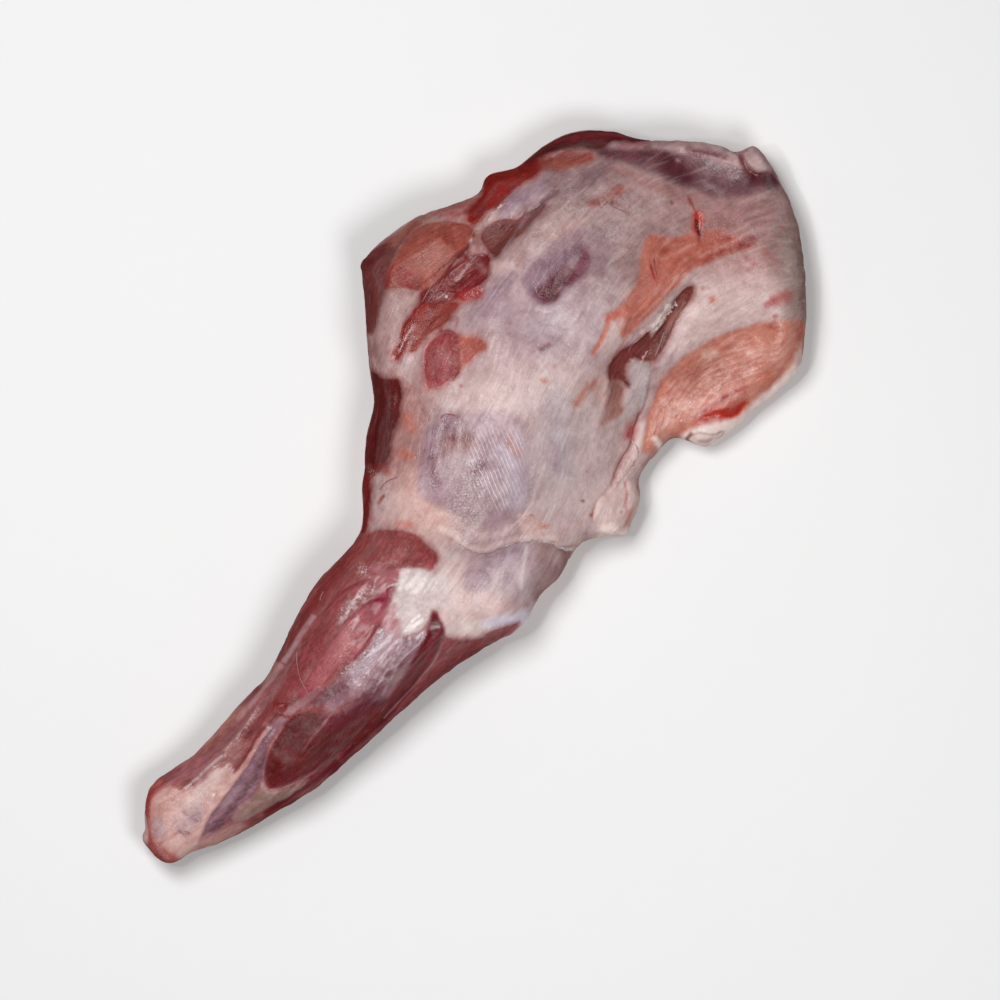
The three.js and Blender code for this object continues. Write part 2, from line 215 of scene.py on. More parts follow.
NECK_SIDE = (
    Flesh("wall of the neck side", "umber", [(355, 262), (395, 236), (425, 212), (408, 238), (396, 256),
           (388, 286), (378, 313), (372, 336), (358, 320)], None, 0.95, 4, 4, 0, [(368, 335), (372, 290),
           (410, 225)]),
    Flesh("dark nub", "wine", [(366, 262)], 13, 0.9, 3, 2, 1),
    Flesh("orange muscle", "orange flesh", [(418, 228), (444, 222), (469, 226), (475, 239), (460, 258),
           (444, 276), (427, 288), (410, 290), (392, 286), (388, 276), (396, 257), (405, 239)], None,
          0.95, 3, 3, 1, [(390, 285), (430, 262), (474, 232)], 0.2),
    Stain("heart of the orange muscle", "terracotta", [(425, 270), (436, 258)], 16, 0.6, 9, 4),
    Stain("red end of the orange muscle", "brick", [(398, 272), (408, 283)], 20, 1, 10, 5),
    Film("pink band", "grey pink", [(418, 219), (445, 215), (468, 220)], 7, 0.8, 3, 3, 0.4),
    Film("fibrous patch", "capillary", [(430, 212), (450, 200), (476, 196), (482, 206), (470, 217),
          (446, 217)], None, 0.7, 3, 4, 0),
    Stain("red of the fibrous patch", "dull pink", [(440, 210), (458, 204), (474, 202)], 5, 0.9, 3, 4),
    Flesh("red strip", "deep red", [(484, 176), (503, 168), (525, 158), (542, 162), (538, 174),
           (521, 185), (507, 199), (499, 207), (488, 211), (473, 222), (468, 213), (482, 195)], None,
          0.95, 3, 3, 0.3, [(470, 218), (500, 185), (540, 165)], 0.4),
    Stain("dark end of the red strip", "deep red", [(486, 182), (494, 180)], 14, 0.7, 5, 3),
    Stain("red light on the strip", "blood", [(492, 200), (516, 180)], 7, 0.5, 4, 3),
    Flesh("dark band of the neck", "claret", [(525, 165), (540, 138), (562, 126), (600, 122), (632, 126),
           (650, 140), (632, 141), (612, 141), (600, 150), (580, 148), (562, 150), (543, 155)], None,
          0.95, 2.5, 2, 0, [(525, 162), (560, 138), (620, 130), (650, 140)], 0.4),
    Stain("dark lower part of the band", "black cherry", [(536, 155), (562, 146), (598, 147)], 7, 0.5, 4,
          3),
    Stain("shine on the band", "rose", [(556, 140), (600, 134), (628, 136)], 5, 0.5, 3, 2),
    Flesh("red-brown patch", "orange flesh", [(541, 160), (562, 154), (592, 153), (592, 160), (577, 165),
           (560, 170), (545, 168)], None, 0.8, 6, 4, 0, [(540, 165), (595, 153)]),
    Film("grey sheet of the neck", "slate", [(545, 170), (575, 168), (604, 158), (614, 172), (590, 190),
          (560, 196), (542, 190)], None, 0.75, 8, 5),
    Flesh("brown muscle", "bare brown", [(481, 237), (489, 225), (500, 220), (516, 219), (528, 210),
           (540, 203), (545, 206), (534, 218), (524, 231), (513, 240), (504, 248), (496, 258),
           (490, 251), (485, 244)], None, 1, 2.5, 1.5, -0.3, [(485, 255), (540, 203)]),
    Stain("brown muscle, upper lobe", "mauve", [(522, 224), (534, 210), (544, 202)], 12, 0.35, 5, 2),
    Stain("tail of the brown muscle", "dark slate", [(536, 206), (548, 198), (558, 191)], 5, 0.85, 3,
          1.5, -0.4),
    Stain("olive behind the brown muscle", "maroon", [(474, 246), (464, 256), (452, 267)], 11, 0.9, 5, 3),
    Film("grey sheet over the brown muscle", "mauve", [(506, 198), (524, 186), (544, 182), (546, 192),
          (530, 202), (514, 214), (498, 216)], None, 0.95, 5, 3, 0.2),
    Film("film between the lobes", "mauve", [(503, 250), (516, 232), (530, 206)], 5, 0.6, 3, 3, 0.3),
    Film("fringe of film", "grey pink", [(471, 239), (480, 226), (493, 211), (510, 200)], 2.5, 0.2, 2, 3,
         0.5),
    Film("lower fringe of film", "milk", [(472, 240), (477, 258), (493, 264), (512, 263)], 6, 0.8, 4, 3,
         0.5),
    Film("ridge of the blade", "grey pink", [(497, 263), (525, 239), (553, 221), (582, 209), (606, 206)],
         12, 0.6, 8, 4, 0.8),
    Flesh("valley muscle", "valley red", [(444, 276), (460, 263), (477, 254), (489, 258), (487, 275),
           (480, 284), (468, 292), (458, 296), (444, 303), (427, 305), (420, 297), (432, 286)], None,
          0.95, 2.5, 3, -0.4, [(425, 300), (455, 282), (485, 258)], 0.6),
    Stain("pink end of the valley", "dusky pink", [(480, 266), (485, 270)], 8, 0.95, 5, 3),
    Stain("pale upper wall", "tan", [(394, 240), (410, 224), (426, 214)], 12, 0.7, 6, 3),
    Stain("lower wall of the arm", "tan", [(372, 340), (366, 372)], 10, 0.3, 6, 3),
    Stain("dark line over the valley", "dark wine", [(446, 273), (460, 256), (473, 243)], 3, 0.5, 2, 1.5,
          -0.5),
    Flesh("red spot of the valley", "vivid red", [(464, 295), (476, 291)], 10, 0.85, 3, 3, 0.5, None,
          0.8),
    Flesh("band under the valley", "brick", [(424, 306), (444, 301), (458, 303), (452, 315), (444, 323),
           (432, 332), (421, 342), (412, 352), (408, 340), (416, 320)], None, 0.9, 4, 4, 0.2,
          [(412, 350), (430, 322), (456, 303)], 0.4),
    Flesh("wet red streak", "deep red", [(421, 308), (409, 326), (404, 340), (396, 356)], 8, 0.9, 3, 3,
          -0.3, None, 1),
    Stain("red edge of the wall", "blood", [(392, 268), (386, 284)], 5, 0.6, 4, 2),
    Film("streak of fat", "grey pink", [(388, 293), (401, 288), (417, 291), (418, 303), (408, 313),
          (401, 324), (394, 335), (390, 350), (383, 366), (374, 370), (369, 356), (373, 337),
          (382, 313)], None, 0.85, 4, 4, 0.6),
    Stain("shade of the streak", "dusky pink", [(392, 300), (380, 330), (376, 358)], 14, 0.5, 8, 5),
    Stain("cream of the streak", "pearl", [(405, 298), (392, 312), (380, 340)], 8, 0.35, 5, 4),
    Flesh("eye muscle", "rose", [(446, 332), (457, 336), (461, 348), (459, 369), (451, 379), (440, 386),
           (428, 388), (425, 375), (424, 363), (426, 349), (436, 337)], None, 0.95, 2, 1.5, 0.4,
          [(430, 386), (442, 360), (452, 335)]),
    Stain("dark rim of the eye muscle", "wine", [(440, 331), (450, 331), (459, 339), (461, 354),
           (459, 368), (452, 380)], 2.2, 0.7, 1.6, 1.5, -0.4),
    Stain("dark side of the eye muscle", "brick", [(457, 340), (459, 368), (450, 379)], 4, 0.95, 3, 1),
    Stain("brown heart of the eye muscle", "umber", [(438, 352), (436, 372)], 12, 0.35, 7, 3),
    Stain("pink foot of the eye muscle", "pink fat", [(427, 389), (436, 391)], 9, 0.5, 5, 3),
    Flesh("three-cornered muscle", "rust", [(459, 339), (469, 337), (481, 341), (486, 347), (478, 352),
           (469, 362), (462, 364), (460, 350)], None, 0.95, 2.5, 3, 0.2, [(462, 364), (484, 344)], 0.3),
    Film("strand between the muscles", "dull pink", [(459, 332), (461, 350), (459, 366)], 1.5, 0.2, 1.5,
         1, 0.4),
)

BLADE = (
    Stain("purple hollow", "hollow", [(523, 280), (526, 268), (536, 260), (552, 252), (566, 246),
           (578, 240), (588, 246), (592, 256), (590, 268), (582, 278), (566, 290), (552, 304),
           (536, 304), (528, 294)], None, 0.9, 6, 3, -0.5, [(535, 298), (560, 272), (585, 245)]),
    Stain("shade over the hollow", "mauve", [(556, 246), (580, 232), (602, 246), (600, 266)], 18, 0.5, 9,
          3),
    Stain("core of the hollow", "hollow core", [(535, 296), (538, 288), (548, 282), (556, 273),
           (566, 265), (573, 270), (572, 280), (561, 288), (556, 299), (545, 303)], None, 1, 4, 2),
    Stain("right of the hollow", "hollow core", [(584, 252), (582, 266), (573, 278)], 10, 0.6, 7, 3),
    Stain("rim of the hollow", "grape", [(536, 256), (526, 265), (522, 278), (527, 290)], 2.5, 0.75, 2,
          1),
    Film("pale under the hollow", "silver", [(536, 309), (556, 306), (580, 288)], 5, 0.5, 4, 2, 0.3),
    Stain("mauve beside the hollow", "mauve", [(495, 293), (512, 276)], 16, 0.7, 9, 5),
    Stain("lavender patch", "lavender", [(472, 316), (496, 304)], 18, 0.5, 10, 5),
    Stain("silver above the mark", "silver", [(525, 330), (560, 318)], 16, 0.45, 10, 5),
    Stain("mauve round the mark", "mauve", [(535, 346), (552, 344)], 18, 0.35, 10, 4),
    Stain("dark mark", "umber", [(541, 349), (549, 345)], 4, 0.6, 2, 1.5),
    Stain("pink mark", "rust", [(541, 380), (546, 382)], 3.5, 0.6, 2, 1.5),
    Stain("small pink mark", "rust", [(554, 366)], 4, 0.5, 2, 1.5),
    Stain("short dark line", "rose", [(458, 317), (456, 328)], 2, 0.4, 1.5, 1),
    Stain("red dot", "blood", [(461, 386)], 3.5, 0.5, 1.5, 1),
    Stain("pink foot of the blade", "pink fat", [(500, 268), (518, 262)], 10, 0.35, 7, 3),
)

TOP_EDGE = (
    Stain("purple band", "dark slate", [(598, 150), (625, 148), (650, 147), (672, 151), (690, 154),
           (705, 159), (725, 165), (745, 169), (765, 171), (780, 180), (778, 188), (757, 191),
           (742, 197), (726, 197), (712, 195), (700, 191), (688, 188), (676, 184), (660, 177),
           (645, 171), (632, 166), (612, 160)], None, 0.9, 5, 3, -0.3, None, 0.5),
    Stain("left of the band", "band maroon", [(602, 153), (636, 154), (664, 157)], 10, 0.75, 5, 3),
    Stain("heart of the band", "band heart", [(668, 165), (686, 174)], 20, 0.8, 7, 3),
    Stain("right end of the band", "band heart", [(752, 180), (776, 179)], 9, 0.75, 4, 3),
    Film("grey light on the band", "smoky light", [(703, 182), (712, 187), (722, 193)], 5, 0.95, 3, 2,
         0.2),
    Film("glint of the band", "milk", [(677, 160), (679, 160)], 2.5, 0.75, 1.5, 0.5, 0.2, None, 1),
    Stain("pale under the band", "grey pink", [(700, 201), (730, 203), (762, 200)], 9, 0.6, 5, 3),
    Film("lip of the band", "lip pink", [(652, 147), (668, 142), (684, 141), (702, 142), (718, 145),
          (730, 151), (740, 158), (737, 165), (718, 160), (700, 154), (684, 151), (668, 150)], None, 0.9,
         2.5, 1.5, 0.8),
    Stain("flush of the lip", "plum", [(688, 151), (706, 154), (724, 158)], 5, 0.8, 4, 2),
    Film("crest of the lip", "pearl", [(680, 144), (702, 145), (722, 150)], 3, 0.95, 2.5, 1.5, 0.3),
    Stain("pink left of the lip", "dusty rose", [(622, 146), (642, 145)], 5, 0.6, 3, 3),
    Film("gristle stub", "lip pink", [(744, 158), (746, 151), (752, 147), (759, 149), (767, 158),
          (773, 169), (764, 172), (758, 172), (751, 166)], None, 0.95, 2, 1.5, 0.4, None, -1),
    Stain("light of the gristle", "milk", [(752, 151), (758, 160), (764, 168)], 5, 0.5, 3, 3, 0.3),
    Stain("shade left of the gristle", "umber", [(741, 157), (744, 163), (748, 170), (755, 175)], 5.5, 1,
          2, 1, -0.9),
    Stain("shade under the gristle", "dark wine", [(754, 176), (764, 174), (774, 172)], 4, 0.8, 3, 1,
          -0.5),
    Stain("pink under the band", "dull pink", [(622, 170), (650, 182), (690, 200)], 12, 0.6, 7, 4, 0.4),
    Stain("peach of the blade", "peach", [(548, 238), (566, 228), (584, 222)], 9, 0.4, 6, 4),
    Stain("star of threads", "brick", [(592, 205), (603, 200), (611, 196), (620, 190)], 7, 0.75, 4, 3),
    Stain("foot of the star", "umber", [(617, 203), (625, 209), (628, 214)], 4, 0.6, 3, 2),
    Stain("dot of the star", "black cherry", [(612, 203)], 3, 0.9, 1.3, 0.5),
    Stain("dot beside the cut", "umber", [(672, 203)], 3.4, 0.8, 1.5, 0.5),
    Stain("faint top of the cut", "maroon", [(689, 198), (692, 205)], 4, 0.6, 2, 1, -0.3),
    Film("pale line of the cut", "blush", [(691, 206), (694, 214)], 2, 0.3, 1.5, 1, 0.2),
    Flesh("red cut", "wet red", [(698, 216), (698, 222), (698, 228)], 6, 0.95, 2, 1, -0.4, None, 0.7),
    Stain("dark of the cut", "black cherry", [(697, 221), (698, 227)], 3, 1, 1.5, 1),
    Stain("tail of the cut", "dark maroon", [(699, 230), (700, 241)], 3.5, 0.95, 1.3, 0.5, -0.4),
    Stain("blot of the cut", "dark maroon", [(699, 245), (704, 248)], 6, 0.8, 3, 2),
)

OUTER_SHEET = (
    Stain("salmon band", "deep salmon", [(654, 234), (664, 237), (678, 237), (690, 233), (700, 237),
           (708, 231), (718, 230), (730, 234), (744, 240), (753, 242), (752, 247), (738, 250),
           (726, 254), (714, 260), (700, 265), (690, 271), (682, 280), (672, 291), (660, 304),
           (648, 317), (636, 328), (624, 338), (618, 330), (616, 320), (607, 319), (612, 312),
           (622, 305), (630, 295), (637, 284), (640, 268), (642, 252), (646, 240)], None, 0.95, 3, 2,
          -0.3, None, 0.3),
    Stain("veil on the left of the band", "tan", [(654, 242), (650, 262), (644, 284), (628, 304)], 16,
          0.5, 7, 3),
    Stain("deep upper lobe", "brick", [(708, 238), (722, 236), (736, 241)], 8, 0.4, 4, 2),
    Stain("deep left lobe", "brick", [(652, 250), (668, 250), (684, 243)], 7, 0.35, 4, 3),
    Stain("dark edge of the band", "brick", [(752, 243), (738, 246), (726, 250), (712, 256), (697, 263)],
          7, 0.7, 4, 2),
    Stain("lower edge of the band", "rust", [(697, 263), (684, 271), (675, 282)], 6, 0.65, 3, 2),
    Stain("red tip of the band", "maroon", [(744, 243), (752, 240)], 8, 1, 3, 1.5),
    Film("first pale line", "blush", [(741, 238), (728, 244), (714, 250), (700, 256)], 2.4, 0.5, 2, 1,
         0.4),
    Film("second pale line", "blush", [(696, 243), (682, 250), (662, 259)], 3, 0.45, 2.5, 1, 0.3),
    Film("third pale line", "blush", [(679, 275), (668, 290), (655, 304), (640, 319)], 2.2, 0.6, 2, 1,
         0.3),
    Film("fourth pale line", "blush", [(662, 282), (650, 300), (634, 316)], 1.8, 0.35, 2, 1, 0.3),
    Stain("red line of the band", "blood", [(650, 263), (652, 270), (655, 279)], 2, 0.9, 1.4, 0.5),
    Stain("low red of the band", "ember", [(650, 299), (636, 308), (620, 314), (608, 318)], 7, 0.6, 4, 2),
    Stain("second low red", "rust", [(656, 306), (642, 320), (629, 332)], 4, 0.2, 3, 1.5),
    Stain("line to the pocket", "rust", [(628, 332), (622, 346), (614, 357)], 4, 0.3, 3, 1.5),
    Film("white foot of the band", "white fat", [(620, 322), (612, 337), (604, 352)], 9, 0.75, 4, 3, 0.4),
    Stain("orange line", "ember", [(609, 318), (606, 330), (600, 342), (593, 353)], 4, 0.95, 2, 1, -0.2),
    Stain("orange streak", "deep salmon", [(577, 404), (584, 393), (595, 382)], 7, 0.7, 4, 3),
    Flesh("slit", "slit brown", [(693, 287), (691, 298), (684, 307), (678, 317), (673, 327), (668, 338),
           (662, 350), (655, 360), (650, 367), (649, 354), (652, 340), (658, 331), (665, 322),
           (662, 317), (667, 311), (673, 305), (679, 297), (685, 290)], None, 0.95, 1.6, 1.5, -1.0,
          [(654, 364), (690, 290)], 0.2),
    Stain("light of the slit", "tan", [(684, 298), (675, 312), (668, 328)], 4, 0.35, 3, 2),
    Film("teeth of the slit", "ivory", [(670, 307), (662, 318), (655, 327), (643, 334)], 7, 0.9, 1.5, 6,
         0.5),
    Flesh("dark pocket", "pocket red", [(649, 331), (641, 340), (632, 346), (624, 350), (616, 358),
           (610, 368), (610, 380), (618, 381), (624, 382), (632, 388), (626, 376), (628, 366),
           (634, 358), (640, 360), (648, 360), (652, 348)], None, 0.9, 2.5, 2, -0.9, [(612, 378),
           (650, 335)], 0.3),
    Stain("dark heart of the pocket", "dark wine", [(626, 352), (640, 346), (647, 340)], 8, 0.15, 4, 2),
    Flesh("olive floor of the pocket", "olive brown", [(611, 384), (619, 382), (625, 390), (622, 404),
           (625, 412), (614, 419), (606, 424), (602, 424), (606, 410), (609, 396)], None, 0.7, 5, 3,
          -0.6, [(612, 414), (622, 380)]),
    Stain("cream left of the pocket", "blush", [(604, 378), (600, 398)], 9, 0.9, 5, 3),
    Stain("dark dot in the pocket", "dark wine", [(627, 383), (631, 386)], 3, 0.9, 1.5, 1),
    Film("whitish stream", "stream grey", [(631, 360), (640, 361), (651, 362), (651, 376), (648, 392),
          (642, 406), (633, 416), (620, 424), (604, 434), (612, 424), (622, 412), (625, 398),
          (630, 386)], None, 0.9, 3, 2, 0.5),
    Stain("red spot", "ember", [(712, 299)], 7, 1, 3, 1),
    Stain("heart of the red spot", "brick", [(712, 299)], 3, 1, 1.5, 0.5),
    Stain("small red spot", "rust", [(702, 288)], 3, 0.8, 1.5, 1),
    Stain("red blotch", "rose", [(767, 304), (773, 301)], 6, 1, 3, 2),
    Stain("faint red blotch", "capillary", [(776, 300), (788, 296)], 11, 0.6, 5, 3),
    Stain("red spot under the blotch", "brick", [(775, 316)], 4, 0.9, 2, 0.5),
    Stain("thread on the corner", "capillary", [(780, 226), (785, 230)], 2.5, 0.6, 2, 1),
    Stain("pink of the side", "rose", [(744, 258), (754, 263), (748, 270)], 4, 0.35, 3, 3),
    Stain("second pink of the side", "capillary", [(764, 252), (776, 262)], 4, 0.3, 3, 3),
)

BREAST_FLAP = (
    Stain("flap", "flap salmon", [(812, 323), (790, 320), (770, 321), (752, 325), (735, 330), (720, 336),
           (706, 343), (692, 352), (678, 362), (668, 372), (660, 384), (656, 398), (652, 410),
           (646, 424), (643, 438), (645, 453), (652, 453), (660, 445), (668, 438), (680, 436),
           (690, 430), (700, 423), (720, 419), (735, 417), (748, 406), (762, 395), (775, 385),
           (787, 372), (797, 360), (806, 345)], None, 0.97, 3, 2, -0.3, None, 0.4),
    Stain("upper margin of the flap", "coral", [(796, 327), (768, 328), (740, 334), (712, 345),
           (690, 357), (674, 372)], 9, 0.12, 5, 2),
    Stain("right end of the flap", "rust", [(798, 328), (801, 342), (790, 360)], 8, 0.55, 5, 2),
    Stain("dull middle of the flap", "tan", [(690, 382), (716, 376), (740, 372)], 24, 0.4, 10, 4),
    Stain("peach lobe of the flap", "peach", [(668, 420), (680, 406), (700, 408)], 16, 0.2, 7, 3),
    Stain("pale right of the flap", "peach", [(740, 352), (776, 350)], 16, 0.5, 8, 4),
    Stain("orange margin", "ember", [(663, 388), (653, 408), (647, 430), (644, 450)], 6, 0.45, 3, 1.5,
          -0.3),
    Stain("first fold of the flap", "terracotta", [(655, 419), (666, 406), (684, 399), (712, 397)], 1.8,
          0.9, 1.6, 1, -0.3),
    Stain("second fold of the flap", "rust", [(660, 402), (674, 386), (694, 374), (718, 367)], 1.8, 0.5,
          1.6, 1, -0.3),
    Film("third fold of the flap", "flush", [(654, 428), (670, 414), (694, 408), (716, 406)], 1.6, 0.2,
         1.5, 1, 0.3),
    Film("fourth fold of the flap", "flush", [(664, 394), (680, 380), (702, 370)], 1.6, 0.5, 1.5, 1, 0.3),
    Stain("fifth fold of the flap", "rust", [(672, 376), (690, 364), (712, 352), (736, 345)], 1.6, 0.4,
          1.5, 1, -0.2),
    Film("pale bit on the lobe", "ivory", [(655, 439), (660, 445)], 7, 1, 2.5, 2, 0.5),
    Flesh("red streak of the flap", "wet red", [(697, 422), (708, 414), (722, 410), (738, 405),
           (746, 402), (742, 410), (734, 417), (720, 418), (706, 421)], None, 0.95, 2.5, 1.5, -0.3, None,
          0.6),
    Stain("upper rim of the streak", "blood", [(700, 415), (714, 404), (730, 394), (744, 388)], 3.5,
          0.85, 2, 1),
    Stain("pale spot in the streak", "rust", [(724, 403), (737, 397), (745, 393)], 5, 0.25, 2.5, 1),
    Stain("tail of the red streak", "ember", [(747, 392), (759, 385), (769, 376)], 9, 0.5, 4, 2),
    Stain("red dot of the flap", "brick", [(771, 327), (778, 330)], 5, 0.6, 3, 1.5),
    Film("pale spot of the flap", "blush", [(707, 355), (715, 355)], 9, 0.8, 3, 2, 0.3),
    Film("rolled rim", "bright rim", [(688, 437), (700, 434), (720, 428), (738, 422), (752, 411),
          (768, 398), (782, 386), (796, 368), (808, 346)], 13, 0.95, 3, 1.5, 0.8),
    Stain("brown line of the rim", "bronze", [(691, 435), (700, 432), (712, 434), (722, 430)], 1.6, 0.5,
          1.3, 0.5),
    Stain("brown start of the rim", "umber", [(687, 438), (691, 433)], 3.5, 0.8, 2, 1),
    Stain("grey of the rim", "ash", [(799, 364), (806, 345)], 9, 0.6, 5, 2),
    Stain("fold beside the pocket", "grey pink", [(653, 363), (650, 383), (646, 404), (640, 415)], 2.5,
          0.6, 2, 1.5, -0.6),
    Flesh("crease of the flap", "dull pink", [(640, 415), (635, 429), (631, 446), (623, 459), (616, 474),
           (610, 489), (598, 502), (593, 517)], 2.2, 0.7, 1.6, 1.5, -1.1),
    Flesh("red blob of the crease", "capillary", [(629, 435), (632, 428)], 5, 0.95, 1.8, 1, 0.4, None, 1),
    Film("pale strip beside the crease", "white fat", [(644, 424), (639, 444), (631, 462), (622, 476),
          (614, 489)], 7, 1, 3, 2, 0.6),
    Film("small flap", "white fat", [(596, 500), (612, 486), (636, 484), (646, 498), (636, 530),
          (622, 540), (598, 538)], None, 0.9, 6, 3, 0.2),
    Stain("red line of the small flap", "rose", [(625, 482), (627, 495), (625, 507)], 2.5, 0.6, 1.5, 1,
          -0.5),
    Stain("orange tint of the small flap", "coral", [(631, 512), (629, 524)], 8, 0.55, 5, 3),
    Stain("cream foot of the small flap", "bright rim", [(604, 530), (624, 534)], 10, 1, 6, 3),
    Stain("dark dot of the small flap", "umber", [(621, 512)], 3, 0.6, 1.5, 0.5),
)

UPPER_ARM = (
    Flesh("side muscle", "dark maroon", [(368, 376), (384, 378), (398, 380), (401, 390), (399, 418),
           (392, 435), (389, 455), (385, 464), (370, 467), (358, 464), (358, 440), (366, 420)], None,
          0.95, 3, 3, 0, [(366, 462), (376, 420), (386, 382)], 0.5),
    Stain("dark lobe of the side muscle", "dark maroon", [(388, 392), (388, 430), (380, 456)], 9, 0.6, 5,
          3),
    Flesh("wet red under the side muscle", "dark blood", [(356, 464), (372, 463), (384, 464), (374, 474),
           (358, 478)], None, 0.9, 3, 3, -0.2, None, 0.9),
    Flesh("edge strip", "dark blood", [(364, 472), (366, 500), (362, 530)], 9, 0.85, 4, 3, 0, None, 0.5),
    Film("fat over the side muscle", "dull pink", [(394, 372), (406, 392), (402, 430)], 8, 0.6, 5, 4,
         0.3),
    Stain("orange blotch", "ember", [(409, 419), (413, 427)], 9, 0.55, 6, 6),
    Stain("second blotch", "ember", [(402, 452), (409, 457)], 6, 0.6, 5, 5),
    Stain("third blotch", "ember", [(398, 522), (411, 525)], 4, 0.7, 4, 4),
    Stain("red blotch of the arm", "brick", [(386, 471)], 8, 0.85, 5, 3),
    Stain("low red blotches", "capillary", [(376, 520), (392, 524), (414, 528)], 6, 0.2, 5, 4),
    Stain("low crease of the arm", "brick", [(378, 503), (383, 496)], 3, 0.95, 1.5, 1, -0.4),
    Stain("cream beside the bulge", "blush", [(412, 470), (420, 500), (440, 520)], 14, 0.5, 8, 4),
    Stain("reddish line", "capillary", [(443, 416), (454, 415)], 2, 0.85, 1.5, 1),
    Stain("bulge under film", "lavender", [(427, 434), (425, 463), (417, 480), (418, 493), (433, 503),
           (453, 511), (490, 527), (519, 510), (528, 496), (533, 480), (524, 463), (525, 438),
           (521, 422), (495, 412), (469, 414), (446, 418)], None, 0.75, 6, 3, 0.7, [(500, 505),
           (481, 450), (470, 420)], 0.3),
    Stain("grey of the bulge", "ash", [(452, 430), (452, 480), (470, 500)], 36, 0.5, 14, 4),
    Stain("rose of the bulge", "dusky pink", [(444, 444), (456, 440), (466, 442)], 17, 1, 8, 4),
    Stain("red heart of the rose", "plum", [(450, 438), (462, 440)], 5, 0.55, 4, 2),
    Stain("darker bulge, left", "grape", [(446, 420), (432, 438), (429, 460), (432, 484), (446, 494)],
          17, 0.6, 10, 5),
    Stain("red spots of the bulge", "plum", [(431, 458), (433, 470), (438, 484)], 5, 0.7, 4, 2),
    Stain("darker bulge, middle", "plum", [(474, 470), (484, 466)], 8, 0.5, 5, 3),
    # painted highlight on the right of the bulge
    Stain("painted sheen of the bulge, right", "ice", [(506, 450), (516, 478), (514, 500)], 20, 0.5, 10, 4),
    Stain("red spot of the bulge", "rust", [(508, 440), (512, 448), (518, 452)], 7, 0.55, 4, 3),
    Stain("purple spot", "mauve", [(492, 526), (506, 520), (514, 516)], 15, 0.35, 7, 3, -0.3),
    Film("pinkish patch", "blush", [(519, 516), (531, 512), (541, 520), (549, 528), (540, 535),
          (524, 532)], None, 0.7, 3, 3, 0.4),
    Stain("orange streak of the patch", "ember", [(541, 527), (548, 525)], 4, 0.55, 2, 2),
    Stain("lilac streak", "ice grey", [(556, 400), (558, 430), (562, 470)], 22, 0.5, 10, 4),
    Stain("heart of the lilac streak", "mauve", [(556, 448), (556, 466)], 12, 0.5, 7, 3),
    Stain("dark dot under the crease", "umber", [(583, 501)], 3, 1, 1.5, 1),
    Stain("dark dot by the small flap", "brick", [(591, 515)], 3, 0.7, 1.5, 1),
    Stain("red dot of the flank", "blood", [(587, 471)], 2.5, 0.3, 1.5, 1),
)

ELBOW = (
    Film("sheet edge", "cream", [(440, 530), (456, 538), (466, 547), (486, 550), (499, 545), (519, 539),
          (536, 538), (554, 538), (562, 544), (580, 540)], 5, 0.7, 3, 2, 0.6),
    # painted shade along the sheet's thick edge, over a groove
    Stain("dark of the sheet", "brown", [(538, 545), (560, 550), (574, 552)], 5, 0.3, 3, 1, -0.8),
    Stain("lilac under the sheet", "mauve", [(492, 560), (510, 554), (524, 552)], 20, 0.6, 8, 4),
    Stain("cream of the elbow", "cream", [(446, 562), (458, 592)], 24, 0.45, 10, 4),
    Stain("purple patch of the elbow", "mauve", [(466, 572), (478, 568), (491, 574), (490, 586),
           (476, 592), (464, 588)], None, 0.65, 4, 3, -0.3),
    Stain("mauve of the elbow", "mauve", [(505, 578), (516, 588)], 14, 0.45, 8, 4),
    Film("pale line of the elbow", "ivory", [(527, 546), (524, 566), (521, 588)], 3, 0.6, 2, 2, 0.3),
    # painted shade below the sheet's thick edge, over a shallow hollow
    Stain("grey-brown back of the elbow", "ash", [(538, 548), (574, 548), (582, 556), (562, 580),
           (541, 602), (530, 590), (536, 570)], None, 0.75, 5, 3, -0.2, [(534, 596), (560, 556)]),
    Stain("bluish tip of the elbow", "ice", [(488, 624), (505, 622), (524, 616)], 14, 1, 6, 3, 0.4),
    Stain("white foot of the elbow", "ivory", [(443, 615), (462, 626), (486, 634)], 20, 0.6, 8, 4),
    Flesh("small maroon corner", "dusty rose", [(486, 636), (499, 629), (518, 624), (512, 634),
           (496, 646)], None, 0.95, 2.5, 1.5, -0.3),
)

LIMB_GRAIN = [(440, 545), (410, 590), (360, 650), (310, 712), (255, 765), (160, 825)]

